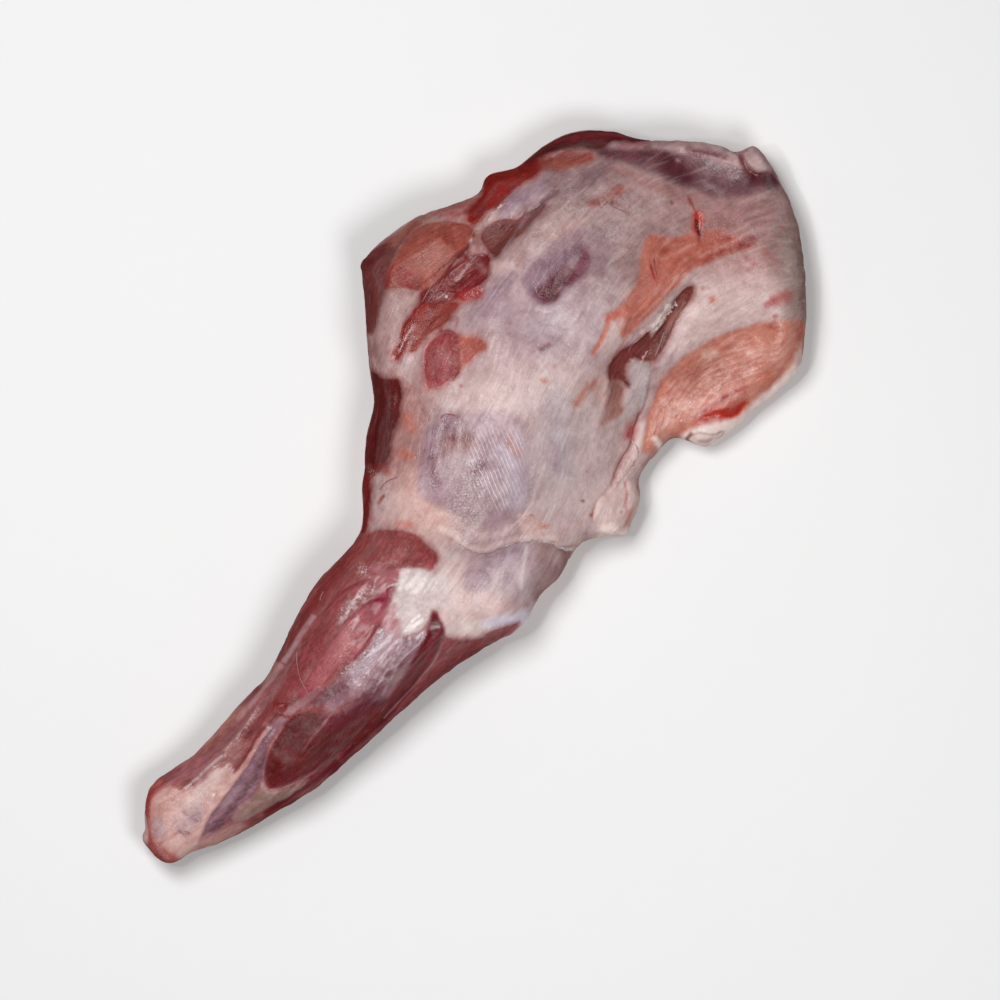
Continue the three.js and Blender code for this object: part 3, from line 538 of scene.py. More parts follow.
SHANK = (
    Flesh("shank flesh", "dull muscle", [(345, 534), (362, 536), (380, 531), (398, 531), (415, 535),
           (428, 547), (437, 558), (438, 600), (444, 636), (486, 638), (520, 628), (500, 670),
           (400, 770), (280, 840), (175, 880), (125, 860), (125, 780), (200, 735), (300, 620)], None, 1,
          3, 1, 0, LIMB_GRAIN, 0.7),
    Stain("head of the extensor", "ruddy", [(340, 546), (362, 537), (378, 531), (398, 531), (415, 535),
           (428, 547), (436, 556), (438, 566), (434, 575), (426, 569), (404, 566), (384, 570),
           (366, 577), (345, 584), (334, 594), (322, 605), (314, 616), (300, 640), (280, 640),
           (300, 600), (320, 560)], None, 1, 2.5, 1, 0.6, LIMB_GRAIN),
    Stain("pale top of the head", "brown rose", [(366, 548), (388, 543), (410, 548)], 16, 0.7, 7, 3),
    Stain("crimson end of the head", "belly red", [(424, 556), (433, 566)], 10, 0.7, 5, 2),
    Stain("dark left of the head", "shank red", [(340, 570), (326, 586), (312, 602), (300, 622)], 16,
          0.4, 7, 2),
    Stain("rose under the head", "dusty rose", [(374, 568), (388, 571), (402, 571)], 8, 0.9, 4, 3),
    Stain("long muscle", "extensor", [(366, 578), (378, 582), (372, 594), (352, 612), (338, 630),
           (322, 654), (308, 672), (296, 692), (284, 708), (268, 724), (258, 736), (262, 716),
           (272, 700), (284, 676), (298, 650), (312, 626), (330, 600), (348, 586)], None, 0.95, 3, 2,
          0.5, LIMB_GRAIN),
    Stain("rust of the long muscle", "belly red", [(364, 584), (350, 592), (334, 608)], 10, 0.5, 4, 2),
    Stain("rose over the wedge", "belly red", [(370, 578), (384, 580), (394, 577)], 9, 0.7, 4, 3),
    Stain("light run of the long muscle", "shank red", [(343, 617), (330, 637), (317, 657)], 3, 0.4, 2,
          1),
    Stain("second light run", "dusty rose", [(314, 634), (304, 654), (296, 674)], 3, 0.2, 3, 1),
    Film("fascia line", "haze", [(368, 576), (354, 581), (343, 587), (333, 596), (325, 606), (317, 613)],
         2, 0.4, 1.5, 1, 0.3),
    Stain("dark under the fascia", "shank red", [(362, 581), (348, 587), (337, 597), (328, 607)], 2, 1,
          1.5, 1, -0.6),
    Stain("belly of the extensor", "belly red", [(387, 600), (384, 614), (378, 627), (371, 640),
           (362, 652), (352, 662), (340, 668), (326, 684), (312, 696), (303, 699), (299, 693),
           (307, 680), (318, 662), (329, 646), (341, 630), (352, 616), (366, 604), (377, 600)], None,
          0.95, 3, 1.5, 0.9),
    # painted highlight: the sheen on the belly of the extensor
    Stain("painted sheen of the belly", "flush", [(350, 638), (338, 656), (322, 678)], 13, 0.45, 6, 3),
    Stain("dark edge of the belly", "deep claret", [(378, 628), (371, 641), (363, 652), (355, 661)], 3,
          0.4, 2, 1, -0.9),
    Film("pale edge of the belly", "dusty rose", [(352, 664), (340, 671), (326, 687), (313, 698)], 2.5,
         0.4, 2, 1, 0.3),
    Stain("red wedge", "crimson", [(393, 588), (385, 590), (377, 595), (376, 600), (384, 600),
           (389, 596)], None, 0.95, 2, 1, -0.3),
    Stain("foot of the red wedge", "crimson", [(380, 602), (374, 606)], 10, 0.85, 4, 2),
    Film("fascia over the wedge", "dusty rose", [(397, 583), (384, 588), (370, 595)], 3, 0.7, 2, 1.5,
         0.3),
    Film("cream beside the tendon", "milk", [(442, 570), (450, 590), (450, 610), (448, 628)], 18, 1, 5,
         2),
    Film("tendon", "frost", [(400, 571), (412, 567), (428, 569), (440, 574), (450, 588), (446, 604),
          (436, 612), (429, 622), (418, 632), (404, 636), (390, 636), (382, 626), (385, 612), (391, 600),
          (396, 588), (398, 578)], None, 1, 5, 2, 0.3),
    Stain("pink foot of the tendon", "dusty rose", [(391, 608), (387, 622), (394, 632)], 11, 0.95, 4, 3),
    Stain("pink spot of the tendon", "belly red", [(394, 621)], 9, 0.85, 4, 3),
    Film("silver film of the shank", "haze", [(379, 630), (392, 636), (408, 638), (427, 630), (426, 642),
          (414, 662), (400, 680), (388, 696), (376, 700), (360, 698), (344, 704), (330, 712), (314, 706),
          (322, 694), (338, 680), (352, 668), (364, 655), (372, 642)], None, 0.95, 4, 2, 0.2),
    Stain("bright silver", "silver sheet", [(388, 642), (374, 656), (358, 671)], 17, 0.8, 7, 3),
    Stain("shade right of the silver", "plum", [(398, 668), (382, 686), (362, 702)], 15, 0.75, 7, 2),
    Stain("shade below the silver", "plum", [(346, 683), (332, 691), (318, 700)], 11, 0.75, 5, 3),
    Film("long silver streak", "dusty mauve", [(398, 642), (380, 664), (363, 682), (346, 698),
          (330, 716), (316, 733), (300, 754)], 4, 0.7, 2.5, 1.5, 0.3),
    Film("first silver streak", "silver", [(404, 640), (393, 660), (381, 678), (373, 692)], 1.4, 0.6,
         1.3, 1, 0.3),
    Film("second silver streak", "silver", [(412, 638), (403, 656), (390, 680), (381, 695)], 1.3, 0.6,
         1.3, 1, 0.3),
    Stain("third muscle", "deep claret", [(432, 611), (438, 617), (444, 630), (442, 643), (434, 659),
           (424, 674), (408, 694), (392, 714), (374, 732), (352, 752), (340, 760), (352, 742),
           (372, 722), (384, 704), (396, 688), (410, 664), (420, 645), (427, 631)], None, 0.95, 3, 1,
          0.4, LIMB_GRAIN, 0.8),
    Stain("light on the third muscle", "berry", [(437, 632), (428, 656)], 6, 0.35, 4, 2),
    Film("seam of the third muscle", "dusty mauve", [(443, 645), (435, 661), (424, 675), (411, 690),
          (397, 704), (384, 718)], 2.2, 1, 1.6, 1, -0.6),
    Stain("fourth muscle", "shank red", [(446, 643), (456, 638), (468, 640), (484, 646), (470, 660),
           (450, 678), (430, 694), (412, 704), (403, 705), (414, 692), (430, 672), (440, 656)], None,
          0.35, 2.5, 1, 0.4, LIMB_GRAIN, 0.6),
    Stain("tan rim of the shank", "bronze rose", [(444, 686), (420, 706), (400, 723), (382, 740),
           (356, 760)], 17, 0.85, 4, 2),
    Stain("teardrop muscle", "deep claret", [(302, 711), (290, 718), (281, 732), (272, 748), (267, 764),
           (266, 778), (270, 787), (282, 786), (300, 779), (318, 769), (336, 757), (354, 744),
           (374, 724), (386, 706), (384, 697), (366, 701), (348, 707), (330, 717), (316, 712)], None, 1,
          3, 1, 0.2, LIMB_GRAIN, 0.6),
    Stain("haze on the teardrop", "grape", [(374, 700), (352, 712), (332, 722)], 15, 0.22, 7, 2),
    Stain("red of the teardrop", "deep claret", [(296, 728), (281, 748), (275, 772)], 12, 0.6, 6, 2),
    Stain("red foot of the teardrop", "shank red", [(277, 781), (296, 775), (318, 762)], 6, 0.6, 4, 1),
    Film("line on the teardrop", "dusty mauve", [(352, 694), (334, 712), (318, 731), (305, 748),
          (297, 762)], 3.5, 0.5, 2, 1),
    Film("rim of the teardrop", "beige", [(283, 727), (271, 745), (264, 764), (263, 780), (268, 790),
          (281, 789), (298, 783), (318, 772)], 2.6, 0.75, 2, 1, -0.6),
    Stain("maroon strip", "deep claret", [(336, 764), (318, 776), (300, 788), (282, 802), (268, 814)], 8,
          0.85, 3, 1),
    Film("silver streak of the side", "streak grey", [(314, 617), (305, 630), (295, 645), (285, 661)], 6,
         0.8, 2.5, 1, 0.4, None, 1),
    Film("lower streak of the side", "streak tan", [(280, 666), (267, 684), (252, 702), (238, 718)], 6,
         1, 3, 1.5, 0.2),
    Stain("edge of the side", "dark slate", [(300, 614), (286, 640), (270, 664), (250, 688)], 8, 0.3, 4,
          2),
    Stain("second red band", "maroon", [(276, 700), (264, 714), (252, 730), (241, 742)], 6, 0.8, 3, 1.5,
          -0.3),
    Stain("third red band", "shank red", [(284, 706), (271, 722), (258, 738), (245, 756), (232, 770),
           (221, 783), (214, 793)], 4.5, 1, 2.5, 1.5, -0.6),
    Stain("pink of the side", "dull pink", [(238, 744), (222, 762), (206, 778)], 17, 0.7, 7, 2),
    Stain("brown-pink edge", "brown pink", [(236, 708), (222, 722), (206, 737), (184, 756)], 17, 1, 5, 2),
    Stain("red of the lower side", "dusty rose", [(204, 756), (186, 770), (170, 780)], 10, 0.7, 5, 2),
    Film("cream streak of the side", "blush", [(258, 708), (247, 724), (236, 738), (224, 751)], 2.4,
         0.75, 1.8, 1, 0.5, None, 0.6),
    Film("tendon of the side", "milk", [(222, 756), (208, 768), (196, 779), (184, 789)], 4.5, 0.75, 2,
         1.5, 0.6, None, 1),
    Stain("shade over the tendon", "dusty rose", [(219, 752), (204, 765), (190, 777)], 2.4, 0.95, 1.8, 1,
          -0.4),
    Film("pale band of the shank", "dusty mauve", [(318, 691), (304, 701), (290, 712), (278, 726)], 9,
         0.85, 3.5, 2, -0.2),
    Stain("purple wedge", "grape", [(286, 716), (275, 731), (267, 747), (264, 764), (262, 778),
           (256, 790), (246, 802), (234, 816), (222, 828), (210, 836), (203, 834), (206, 822),
           (214, 810), (224, 798), (232, 786), (244, 770), (254, 756), (262, 741), (272, 726)], None,
          0.9, 3, 1.5, -0.5, LIMB_GRAIN),
    Stain("lilac top of the wedge", "lavender", [(280, 722), (270, 736)], 8, 0.25, 4, 2),
    Stain("lilac foot of the wedge", "lavender", [(236, 790), (222, 806)], 8, 0.55, 4, 2),
    Stain("dark heart of the wedge", "violet", [(263, 758), (256, 775), (244, 792), (230, 812),
           (213, 831)], 6, 0.7, 4, 1.5),
    Film("tan line", "pink fat", [(268, 729), (256, 746), (248, 760), (239, 773), (228, 788), (216, 804),
          (206, 818), (197, 834)], 6, 0.85, 2.5, 1.5, 0.3),
    Film("khaki of the shank", "khaki fat", [(262, 782), (268, 792), (283, 790), (300, 783), (310, 779),
          (297, 792), (282, 801), (262, 812), (246, 820), (231, 819), (240, 808), (252, 796)], None, 0.9,
         3, 2, 0, LIMB_GRAIN),
    Stain("dark of the khaki", "bronze", [(284, 796), (268, 804), (254, 811)], 7, 0.5, 4, 2),
    Stain("russet edge", "bronze rose", [(300, 806), (276, 820), (250, 832), (228, 842)], 18, 0.8, 5, 2),
    Stain("tan lower edge", "blush", [(240, 836), (214, 846), (190, 856)], 22, 0.8, 6, 2),
    Stain("blood on the shank", "dark blood", [(277, 703), (280, 708), (285, 706)], 6, 0.9, 3, 3),
    Stain("thread of blood", "dark blood", [(278, 713), (284, 716), (291, 718)], 2, 0.9, 1.3, 1),
    Stain("red threads", "rust", [(302, 712), (314, 710), (326, 706)], 4, 0.5, 2, 2),
)

SHANK_END = (
    Film("pink tissue", "blush", [(234, 771), (218, 766), (200, 781), (184, 789), (170, 785), (156, 791),
          (148, 808), (148, 836), (160, 852), (176, 860), (190, 851), (203, 835), (211, 814), (224, 796),
          (238, 780)], None, 0.9, 5, 3, 0.2),
    Stain("pale tissue", "white fat", [(216, 776), (202, 792), (190, 806)], 16, 0.6, 7, 3),
    Stain("peach of the end", "tan", [(178, 788), (165, 799), (159, 812)], 13, 0.55, 7, 3),
    Stain("blue-grey spot", "lavender", [(158, 824), (160, 834)], 12, 0.65, 5, 3),
    Stain("second blue-grey spot", "lavender", [(182, 828), (192, 818), (198, 812)], 13, 0.6, 6, 3),
    Stain("vein of the end", "grape", [(184, 812), (190, 818), (199, 820)], 2.5, 0.6, 2, 2),
    Stain("thin dark line", "brown", [(179, 831), (184, 834), (190, 833)], 1.6, 0.8, 1.3, 0.5),
    Stain("red streak of the end", "blood", [(156, 846), (165, 841), (172, 836), (178, 832)], 2.5, 0.35,
          2, 1.5),
    Stain("flush of the cut", "raw edge", [(158, 788), (151, 802), (149, 818), (152, 838), (162, 852),
           (172, 858)], 7, 0.6, 4, 2),
    Flesh("red rim of the cut", "raw edge", [(160, 782), (150, 790), (145, 804), (143, 820), (146, 836),
           (152, 850), (162, 862), (174, 864)], 6, 0.9, 3, 1.5, 0, None, 0.6),
    Stain("deep red of the cut", "vivid red", [(150, 794), (146, 806), (147, 816)], 5, 1, 3, 1.5),
    Stain("red foot of the cut", "raw edge", [(158, 852), (168, 860)], 14, 0.9, 6, 3),
)

# Painted highlights: where the wet meat throws the light back in small specks, they are painted
# into its colour as pale specks.
GLINTS = (
    Glint("ring of glints", None, [(362, 570)], 12, 0.9, 3, 1),
    Glint("glints under the head", None, [(378, 565), (392, 563), (412, 568)], 4, 0.5, 3, 1),
    Glint("glints of the rust", None, [(368, 590), (358, 598), (347, 607), (341, 615)], 8, 0.85, 3, 2),
    Glint("glints on the belly", None, [(350, 634), (347, 644), (344, 656)], 13, 0.5, 5, 2),
    Glint("glints on the silver", None, [(384, 632), (372, 650), (358, 664), (344, 672)], 11, 0.75, 4, 2),
    Glint("lower glints on the silver", None, [(368, 662), (356, 680)], 15, 0.6, 5, 2),
    Glint("glints of the shade", None, [(336, 687), (328, 696)], 9, 0.3, 4, 2),
    Glint("glint of the third muscle", None, [(421, 636)], 7, 0.9, 3, 1),
    Glint("glint by the seam", None, [(437, 622), (450, 664)], 2.5, 0.15, 2, 1),
    Glint("glints of the wedge", None, [(275, 730), (255, 752)], 3, 0.7, 2, 1),
    Glint("glints of the tan line", None, [(258, 708), (240, 736), (228, 746)], 4, 0.6, 2, 1),
    Glint("glints of the valley", None, [(447, 297)], 6, 1.2, 2, 1),
    Glint("glints of the red spot", None, [(468, 296), (480, 289)], 7, 1, 2, 1),
    Glint("glints of the eye muscle", None, [(442, 352), (452, 362)], 9, 0.35, 4, 2),
    Glint("glints of the streak", None, [(412, 330), (402, 350)], 6, 0.15, 3, 2),
    Glint("glints under the side muscle", None, [(368, 470), (384, 484), (388, 506)], 8, 0.5, 4, 2),
    Glint("speckle of the bulge", None, [(464, 456), (480, 452), (488, 474), (488, 500), (482, 524),
           (476, 546), (462, 544), (446, 518), (450, 498), (462, 476)], None, 0.75, 7, 3),
    Glint("speckle right of the bulge", None, [(522, 440), (532, 466), (530, 494), (520, 508)], 6, 0.5,
          4, 2),
    Glint("glints of the elbow", None, [(484, 576), (474, 600), (454, 600)], 12, 0.45, 5, 3),
    Glint("glints over the bulge", None, [(460, 430), (468, 424)], 9, 0.4, 5, 2),
    Glint("glints on the blade", None, [(572, 186), (566, 214)], 9, 0.5, 5, 2),
    Glint("glints on the flap", None, [(664, 400), (672, 412), (696, 396)], 8, 0.4, 4, 2),
    Glint("glints on the red streak", None, [(726, 402), (742, 394)], 5, 0.4, 3, 1),
    Glint("glints of the whitish stream", None, [(648, 372), (640, 400)], 8, 0.5, 4, 2),
    Glint("glints of the cut", None, [(146, 806), (158, 848), (166, 858)], 5, 0.6, 3, 1),
    Glint("glints of the flank", None, [(556, 430), (548, 490)], 5, 0.35, 4, 2),
)

# The lower face is out of the photograph: the fan of muscle that lies on the ribs, with its films.
# Its marks are placed as if seen through the meat from above.
LOWER_FACE = (
    Flesh("fan muscle", "maroon", [(372, 250), (500, 190), (600, 132), (720, 160), (790, 210),
           (790, 330), (660, 420), (560, 500), (440, 520), (380, 420)], None, 0.95, 8, 8, 0, [(430, 520),
           (520, 380), (640, 160)], 0.4),
    Stain("light of the fan", "rose", [(470, 440), (560, 300), (640, 200)], 60, 0.4, 30, 12),
    Stain("dark of the fan", "wine", [(420, 330), (500, 250), (560, 180)], 44, 0.5, 24, 12),
    Flesh("breast muscle", "brick", [(650, 340), (790, 260), (810, 330), (760, 400), (690, 440),
           (630, 520), (580, 540), (590, 450)], None, 0.9, 6, 6, 0, [(600, 520), (680, 400), (800, 300)],
          0.4),
    Film("seam of the fan", "blush", [(400, 470), (480, 420), (560, 340), (650, 300), (740, 260),
          (800, 250)], 9, 0.8, 5, 8, -0.8),
    Film("second seam", "blush", [(450, 480), (540, 380), (580, 260), (640, 150)], 6, 0.75, 4, 7, -0.7),
    Film("third seam", "pink fat", [(440, 470), (470, 380), (500, 280), (520, 190)], 5, 0.7, 4, 7, -0.6),
    Film("crease of fat", "cream", [(560, 520), (600, 450), (650, 390), (700, 350), (780, 320)], 12, 0.8,
         7, 8, -0.8),
    Film("fat of the armpit", "cream", [(430, 470), (500, 440), (560, 470), (560, 540), (500, 600),
          (440, 580), (410, 530)], None, 0.85, 10, 10, 0.4),
    Stain("pink of the armpit", "pink fat", [(480, 520), (510, 560)], 40, 0.5, 20, 10),
    Film("fat border", "white fat", [(360, 270), (380, 360), (364, 440), (366, 520)], 12, 0.7, 7, 7),
    Film("outer fat border", "white fat", [(800, 200), (806, 320), (760, 396), (700, 436), (640, 490)],
         14, 0.7, 7, 7),
    Flesh("shank flesh below", "shank red", [(380, 540), (450, 560), (500, 620), (470, 660), (330, 780),
           (180, 870), (130, 850), (130, 780), (240, 700), (330, 570)], None, 0.95, 5, 4, 0, LIMB_GRAIN,
          0.4),
    Stain("inner belly", "wine", [(420, 610), (350, 690), (270, 760)], 34, 0.5, 16, 6),
    Film("film of the shank", "lavender", [(440, 600), (380, 640), (320, 700), (250, 760)], 10, 0.6, 6,
         6, -0.6),
    Film("second film of the shank", "beige", [(400, 690), (320, 750), (240, 800), (180, 840)], 8, 0.6,
         5, 6, -0.5),
    Film("end of the shank", "pink fat", [(200, 800), (165, 828)], 60, 0.7, 18, 8),
)


def smooth(share):
    share = np.clip(share, 0, 1)
    return share * share * (3 - 2 * share)


def linear(colour):
    """A 0 to 255 screen colour as the light it stands for."""
    share = np.asarray(colour, float) / 255
    return np.where(share <= 0.04045, share / 12.92, ((share + 0.055) / 1.055) ** 2.4)


def to_pixels(places):
    """Where the photograph's camera sees these places."""
    x, y, z = places.T / PIXEL
    near = DISTANCE / (DISTANCE + LEVEL - z * PIXEL)
    across = MIDDLE[0] - VIEW_MIDDLE[0] + TURN[0] * x - TURN[1] * y
    down = MIDDLE[1] - VIEW_MIDDLE[1] - TURN[1] * x - TURN[0] * y
    return np.stack((VIEW_MIDDLE[0] + across * near, VIEW_MIDDLE[1] + down * near), 1)


def from_pixel(pixel):
    """The place on the table that the origin's scale gives a pixel."""
    across = (pixel[0] - MIDDLE[0]) * PIXEL
    down = (pixel[1] - MIDDLE[1]) * PIXEL
    return TURN[0] * across - TURN[1] * down, -TURN[1] * across - TURN[0] * down


def hashed(cell, seed):
    """A steady number from 0 to 1 for each cell of a lattice."""
    mixed = cell[:, 0] * 73856093 ^ cell[:, 1] * 19349663 ^ cell[:, 2] * 83492791 ^ (seed + 1) * 2654435761
    mixed = (mixed ^ mixed >> 15) * 2246822519 & 0xFFFFFFFF
    mixed = (mixed ^ mixed >> 13) * 3266489917 & 0xFFFFFFFF
    return (mixed ^ mixed >> 16) / 0xFFFFFFFF


def noise(places, seed):
    """Smooth noise from -1 to 1, with features about one unit across."""
    cell = np.floor(places).astype(np.int64)
    part = smooth(places - cell)
    total = np.zeros(len(places))
    for corner in product((0, 1), repeat=3):
        weight = np.prod(np.where(corner, part, 1 - part), axis=1)
        total += weight * hashed(cell + corner, seed)
    return 2 * total - 1


def cloudy(places, size, seed, octaves=3):
    """Noise with finer noise on it; size is that of the broadest features."""
    total = sum(noise(places / size * 2**n, seed + n) / 2**n for n in range(octaves))
    return total / (2 - 0.5 ** (octaves - 1))


def curve_through(points, closed, steps=4):
    """Points along a smooth curve through the given ones."""
    points = np.array(points, float)
    if len(points) < 3:
        return points
    if closed:
        before, after, beyond = (np.roll(points, n, 0) for n in (1, -1, -2))
        starts = points
    else:
        padded = np.vstack((2 * points[0] - points[1], points, 2 * points[-1] - points[-2]))
        before, starts, after, beyond = padded[:-3], padded[1:-2], padded[2:-1], padded[3:]
    t = np.arange(steps)[None, :, None] / steps
    a, b, c, d = (p[:, None, :] for p in (before, starts, after, beyond))
    run = 0.5 * (2 * b + (c - a) * t + (2 * a - 5 * b + 4 * c - d) * t**2 + (3 * b - a - 3 * c + d) * t**3)
    run = run.reshape(-1, points.shape[1])
    return run if closed else np.vstack((run, points[-1:]))


def line_distance(places, line):
    """How far places lie from a line, on which side, and how far along it their nearest point is."""
    nearest = np.full(len(places), np.inf)
    side = np.ones(len(places))
    along = np.zeros(len(places))
    gone = 0.0
    for a, b in zip(line[:-1], line[1:]):
        run = b - a
        length = max(np.hypot(*run), 1e-9)
        share = np.clip(((places - a) @ run) / length**2, 0, 1)
        away = places - a - share[:, None] * run
        gap = np.hypot(away[:, 0], away[:, 1])
        closer = gap < nearest
        nearest[closer] = gap[closer]
        turned = run[0] * (places[:, 1] - a[1]) - run[1] * (places[:, 0] - a[0])
        side[closer] = np.sign(turned[closer])
        along[closer] = gone + share[closer] * length
        gone += length
    return nearest, side, along


def turns_inside(places, line):
    """Whether places lie within a closed line."""
    inside = np.zeros(len(places), bool)
    for a, b in zip(np.roll(line, 1, 0), line):
        crossed = (a[1] > places[:, 1]) != (b[1] > places[:, 1])
        height = b[1] - a[1] if b[1] != a[1] else 1e-9
        inside ^= crossed & (places[:, 0] < a[0] + (places[:, 1] - a[1]) / height * (b[0] - a[0]))
    return inside


def grain_along(pixels, line, stretch):
    """Places in a fibre's own measure, in mm: across the line, and along it pressed together."""
    gap, side, along = line_distance(pixels, curve_through(line, False))
    flat = np.stack((gap * side, along / stretch, np.zeros(len(gap))), 1)
    return flat * PIXEL / MM


def depth_in(mark, places):
    """How far places lie inside a mark, in pixels, and negative outside it."""
    points = np.array(mark.points, float)
    if len(points) == 1:
        return mark.width / 2 - np.hypot(*(places - points[0]).T)
    if mark.width:
        return mark.width / 2 - line_distance(places, curve_through(points, False))[0]
    line = curve_through(points, True)
    gap = line_distance(places, np.vstack((line, line[:1])))[0]
    return np.where(turns_inside(places, line), gap, -gap)


def tone(name):
    """A colour of the palette, to reckon with."""
    return np.array(PALETTE[name], float)


def edge(depth, soft):
    """0 outside a soft edge and 1 inside it, by the depth behind the edge."""
    return smooth(0.5 + depth / (2 * soft))


def mixed(a, b, share):
    return a + (b - a) * (share if a.ndim == 1 else share[:, None])


# Noises are given by what they lie on, the size of their broadest features, a seed, octaves and how
# much of them counts. What they lie on is "pixels", "mm", or "grain" for mm along the fibres.
def layered(fields, layers):
    """The sum of the noises of some layers."""
    return sum(cloudy(fields[on], size, seed, octaves) * share for on, size, seed, octaves, share in layers)


GRAIN_STRETCH = 9  # how much longer than wide a fibre's noise is
GRAIN_DOWN = 0.5  # how fast that noise changes down through the meat
FILM_RUN = [(150, 845), (255, 765), (350, 655), (420, 585), (472, 500), (505, 420), (548, 335), (605, 255),
            (690, 190), (790, 150), (900, 130)]  # the way that the film's streaks run
FILM_STRETCH = 7  # how much longer than wide those streaks are
FILM_DOWN = 0.3  # how fast they change down through the meat
FILM_BEND = (("mm", 30, 21, 3, 5.0),)  # how far they wander, in mm
MOTTLE = 0.2  # how much of a mark's cover comes and goes over its face
MOTTLE_LAYERS = (("grain", 3.0, 91, 3, 0.5),)
WANDER_LAYERS = (("pixels", 14, 11, 3, 0.5), ("pixels", 4.5, 31, 2, 0.35), ("grain", 2.2, 93, 3, 0.4))
TONE_NOISE = (("pink fat", 60, 41), ("lilac", 44, 51), ("white fat", 30, 61), ("dusky pink", 22, 63),
              ("pearl", 15, 65), ("dull pink", 9, 67))  # colour, size in pixels and seed
TONE_GAIN = 1.1  # how sharply those tones set off from one another
TONE_SHARE = 0.45
WALL_FROM = 0.6  # how level a face is where the painted shade of the walls begins
WALL_DARK = 0.35  # how much of the painted wall shade takes
MATTE_FROM = 0.8  # how level a face is where it begins to lose its shine
MATTE_TO = 0.45  # and where it has none
CLEAR_FROM = 0.1  # how level a face is where the glints begin
CLEAR_BLEND = 0.3
BLEED = 8  # pixels that flesh colour runs on under the film
VEIL_REACH = 7  # pixels beyond bare flesh where the film over it is thin
VEIL = 0.55  # how much of the flesh shows through it
LEAST_SOFT = 2  # pixels over which a mark's relief rises at least


class Paint:
    """The coats of the skin at each vertex: film and flesh colours, and what the marks do to them."""

    def __init__(self, places, film, flesh, sway=0):
        self.pixels = to_pixels(places) + sway
        count = len(places)
        self.film = np.tile(tone(film), (count, 1))
        self.flesh = np.tile(tone(flesh), (count, 1))
        self.bare, self.rise, self.wet, self.fibre, self.shine = np.zeros((5, count))
        self.grain = grain_along(self.pixels, LIMB_GRAIN, GRAIN_STRETCH)
        fields = {"pixels": places / PIXEL, "grain": self.grain}
        self.mottle = 0.5 + layered(fields, MOTTLE_LAYERS)
        self.wander = layered(fields, WANDER_LAYERS)
        for colour, size, seed in TONE_NOISE:
            share = smooth(cloudy(fields["pixels"], size, seed) * TONE_GAIN) * TONE_SHARE
            self.film += (tone(colour) - self.film) * share[:, None]

    def coats(self):
        return self.film, self.flesh, self.bare, self.fibre, self.wet, self.rise

    def lay(self, marks):
        for mark in marks:
            self.lay_one(mark)

    def lay_one(self, mark):
        reach = (mark.width or 0) / 2 + mark.soft + mark.ragged + max(BLEED, VEIL_REACH)
        points = np.array(mark.points, float)
        near = np.all((self.pixels > points.min(0) - reach) & (self.pixels < points.max(0) + reach), axis=1)
        near = np.flatnonzero(near)
        if not len(near):
            return
        depth = depth_in(mark, self.pixels[near])
        inside = depth + mark.ragged * self.wander[near]
        cover = edge(inside, mark.soft) * mark.amount * (1 - MOTTLE * self.mottle[near])
        if mark.coat == "glint":
            self.shine[near] = np.maximum(self.shine[near], cover)
            return
        ramp = np.clip(0.5 + inside / (2 * mark.soft), 0, 1)
        film, flesh = cover, cover
        if mark.coat == "flesh":
            wide = edge(inside + BLEED, mark.soft) * mark.amount
            flesh = cover + (wide - cover) * (1 - self.bare[near])
            film = smooth(0.5 + (inside + VEIL_REACH / 2) / VEIL_REACH) * VEIL * mark.amount
            self.bare[near] = np.maximum(self.bare[near], ramp)
        elif mark.coat == "film":
            flesh = np.zeros(len(near))
            self.bare[near] = np.minimum(self.bare[near], 1 - ramp * mark.amount)
        self.film[near] = mixed(self.film[near], tone(mark.colour), film)
        self.flesh[near] = mixed(self.flesh[near], tone(mark.colour), flesh)
        self.rise[near] += mark.rise * edge(depth, max(mark.soft, LEAST_SOFT))
        if mark.wet:
            self.wet[near] = mixed(self.wet[near], mark.wet, cover)
        if mark.grain and mark.coat != "film":
            held = near[inside > (-BLEED if mark.coat == "flesh" else 0)]
            self.grain[held] = grain_along(self.pixels[held], mark.grain, GRAIN_STRETCH)
            self.fibre[held] = 1


# Stretches of the rim that stay pale down their side, where the walls get no painted shade.
PALE_WALLS = (
    Film("pale side of the rolled rim", "bright rim", [(690, 440), (704, 442), (740, 424), (776, 386),
          (800, 362)], 34, 1, 6),
    Film("pale side of the small flap", "shell", [(596, 542), (630, 538), (644, 494)], 20, 1, 6),
    Film("pale side of the shank", "tan", [(250, 698), (220, 722), (180, 758), (156, 780)], 20, 1, 6),
    Film("pale under side of the shank", "tan", [(450, 684), (396, 726), (350, 766), (280, 822),
          (220, 848), (184, 862)], 20, 1, 6),
    Film("pale side of the neck", "tan", [(386, 244), (410, 220), (440, 204)], 12, 1, 6),
    Film("pale side of the elbow", "ice", [(488, 636), (512, 626), (530, 612)], 24, 1, 6),
)


# ---------------------------------------------------------------- meshes

QUAD_LIMIT = radians(60)  # how far two triangles may bend or skew in a quad
NET_CUTS = 2  # cuts across each quad of the upper face
NET_ROUNDS = 5  # rounds of evening out after the cuts
UPPER_FROM = -0.25  # a face that looks further down than this keeps the coarse net


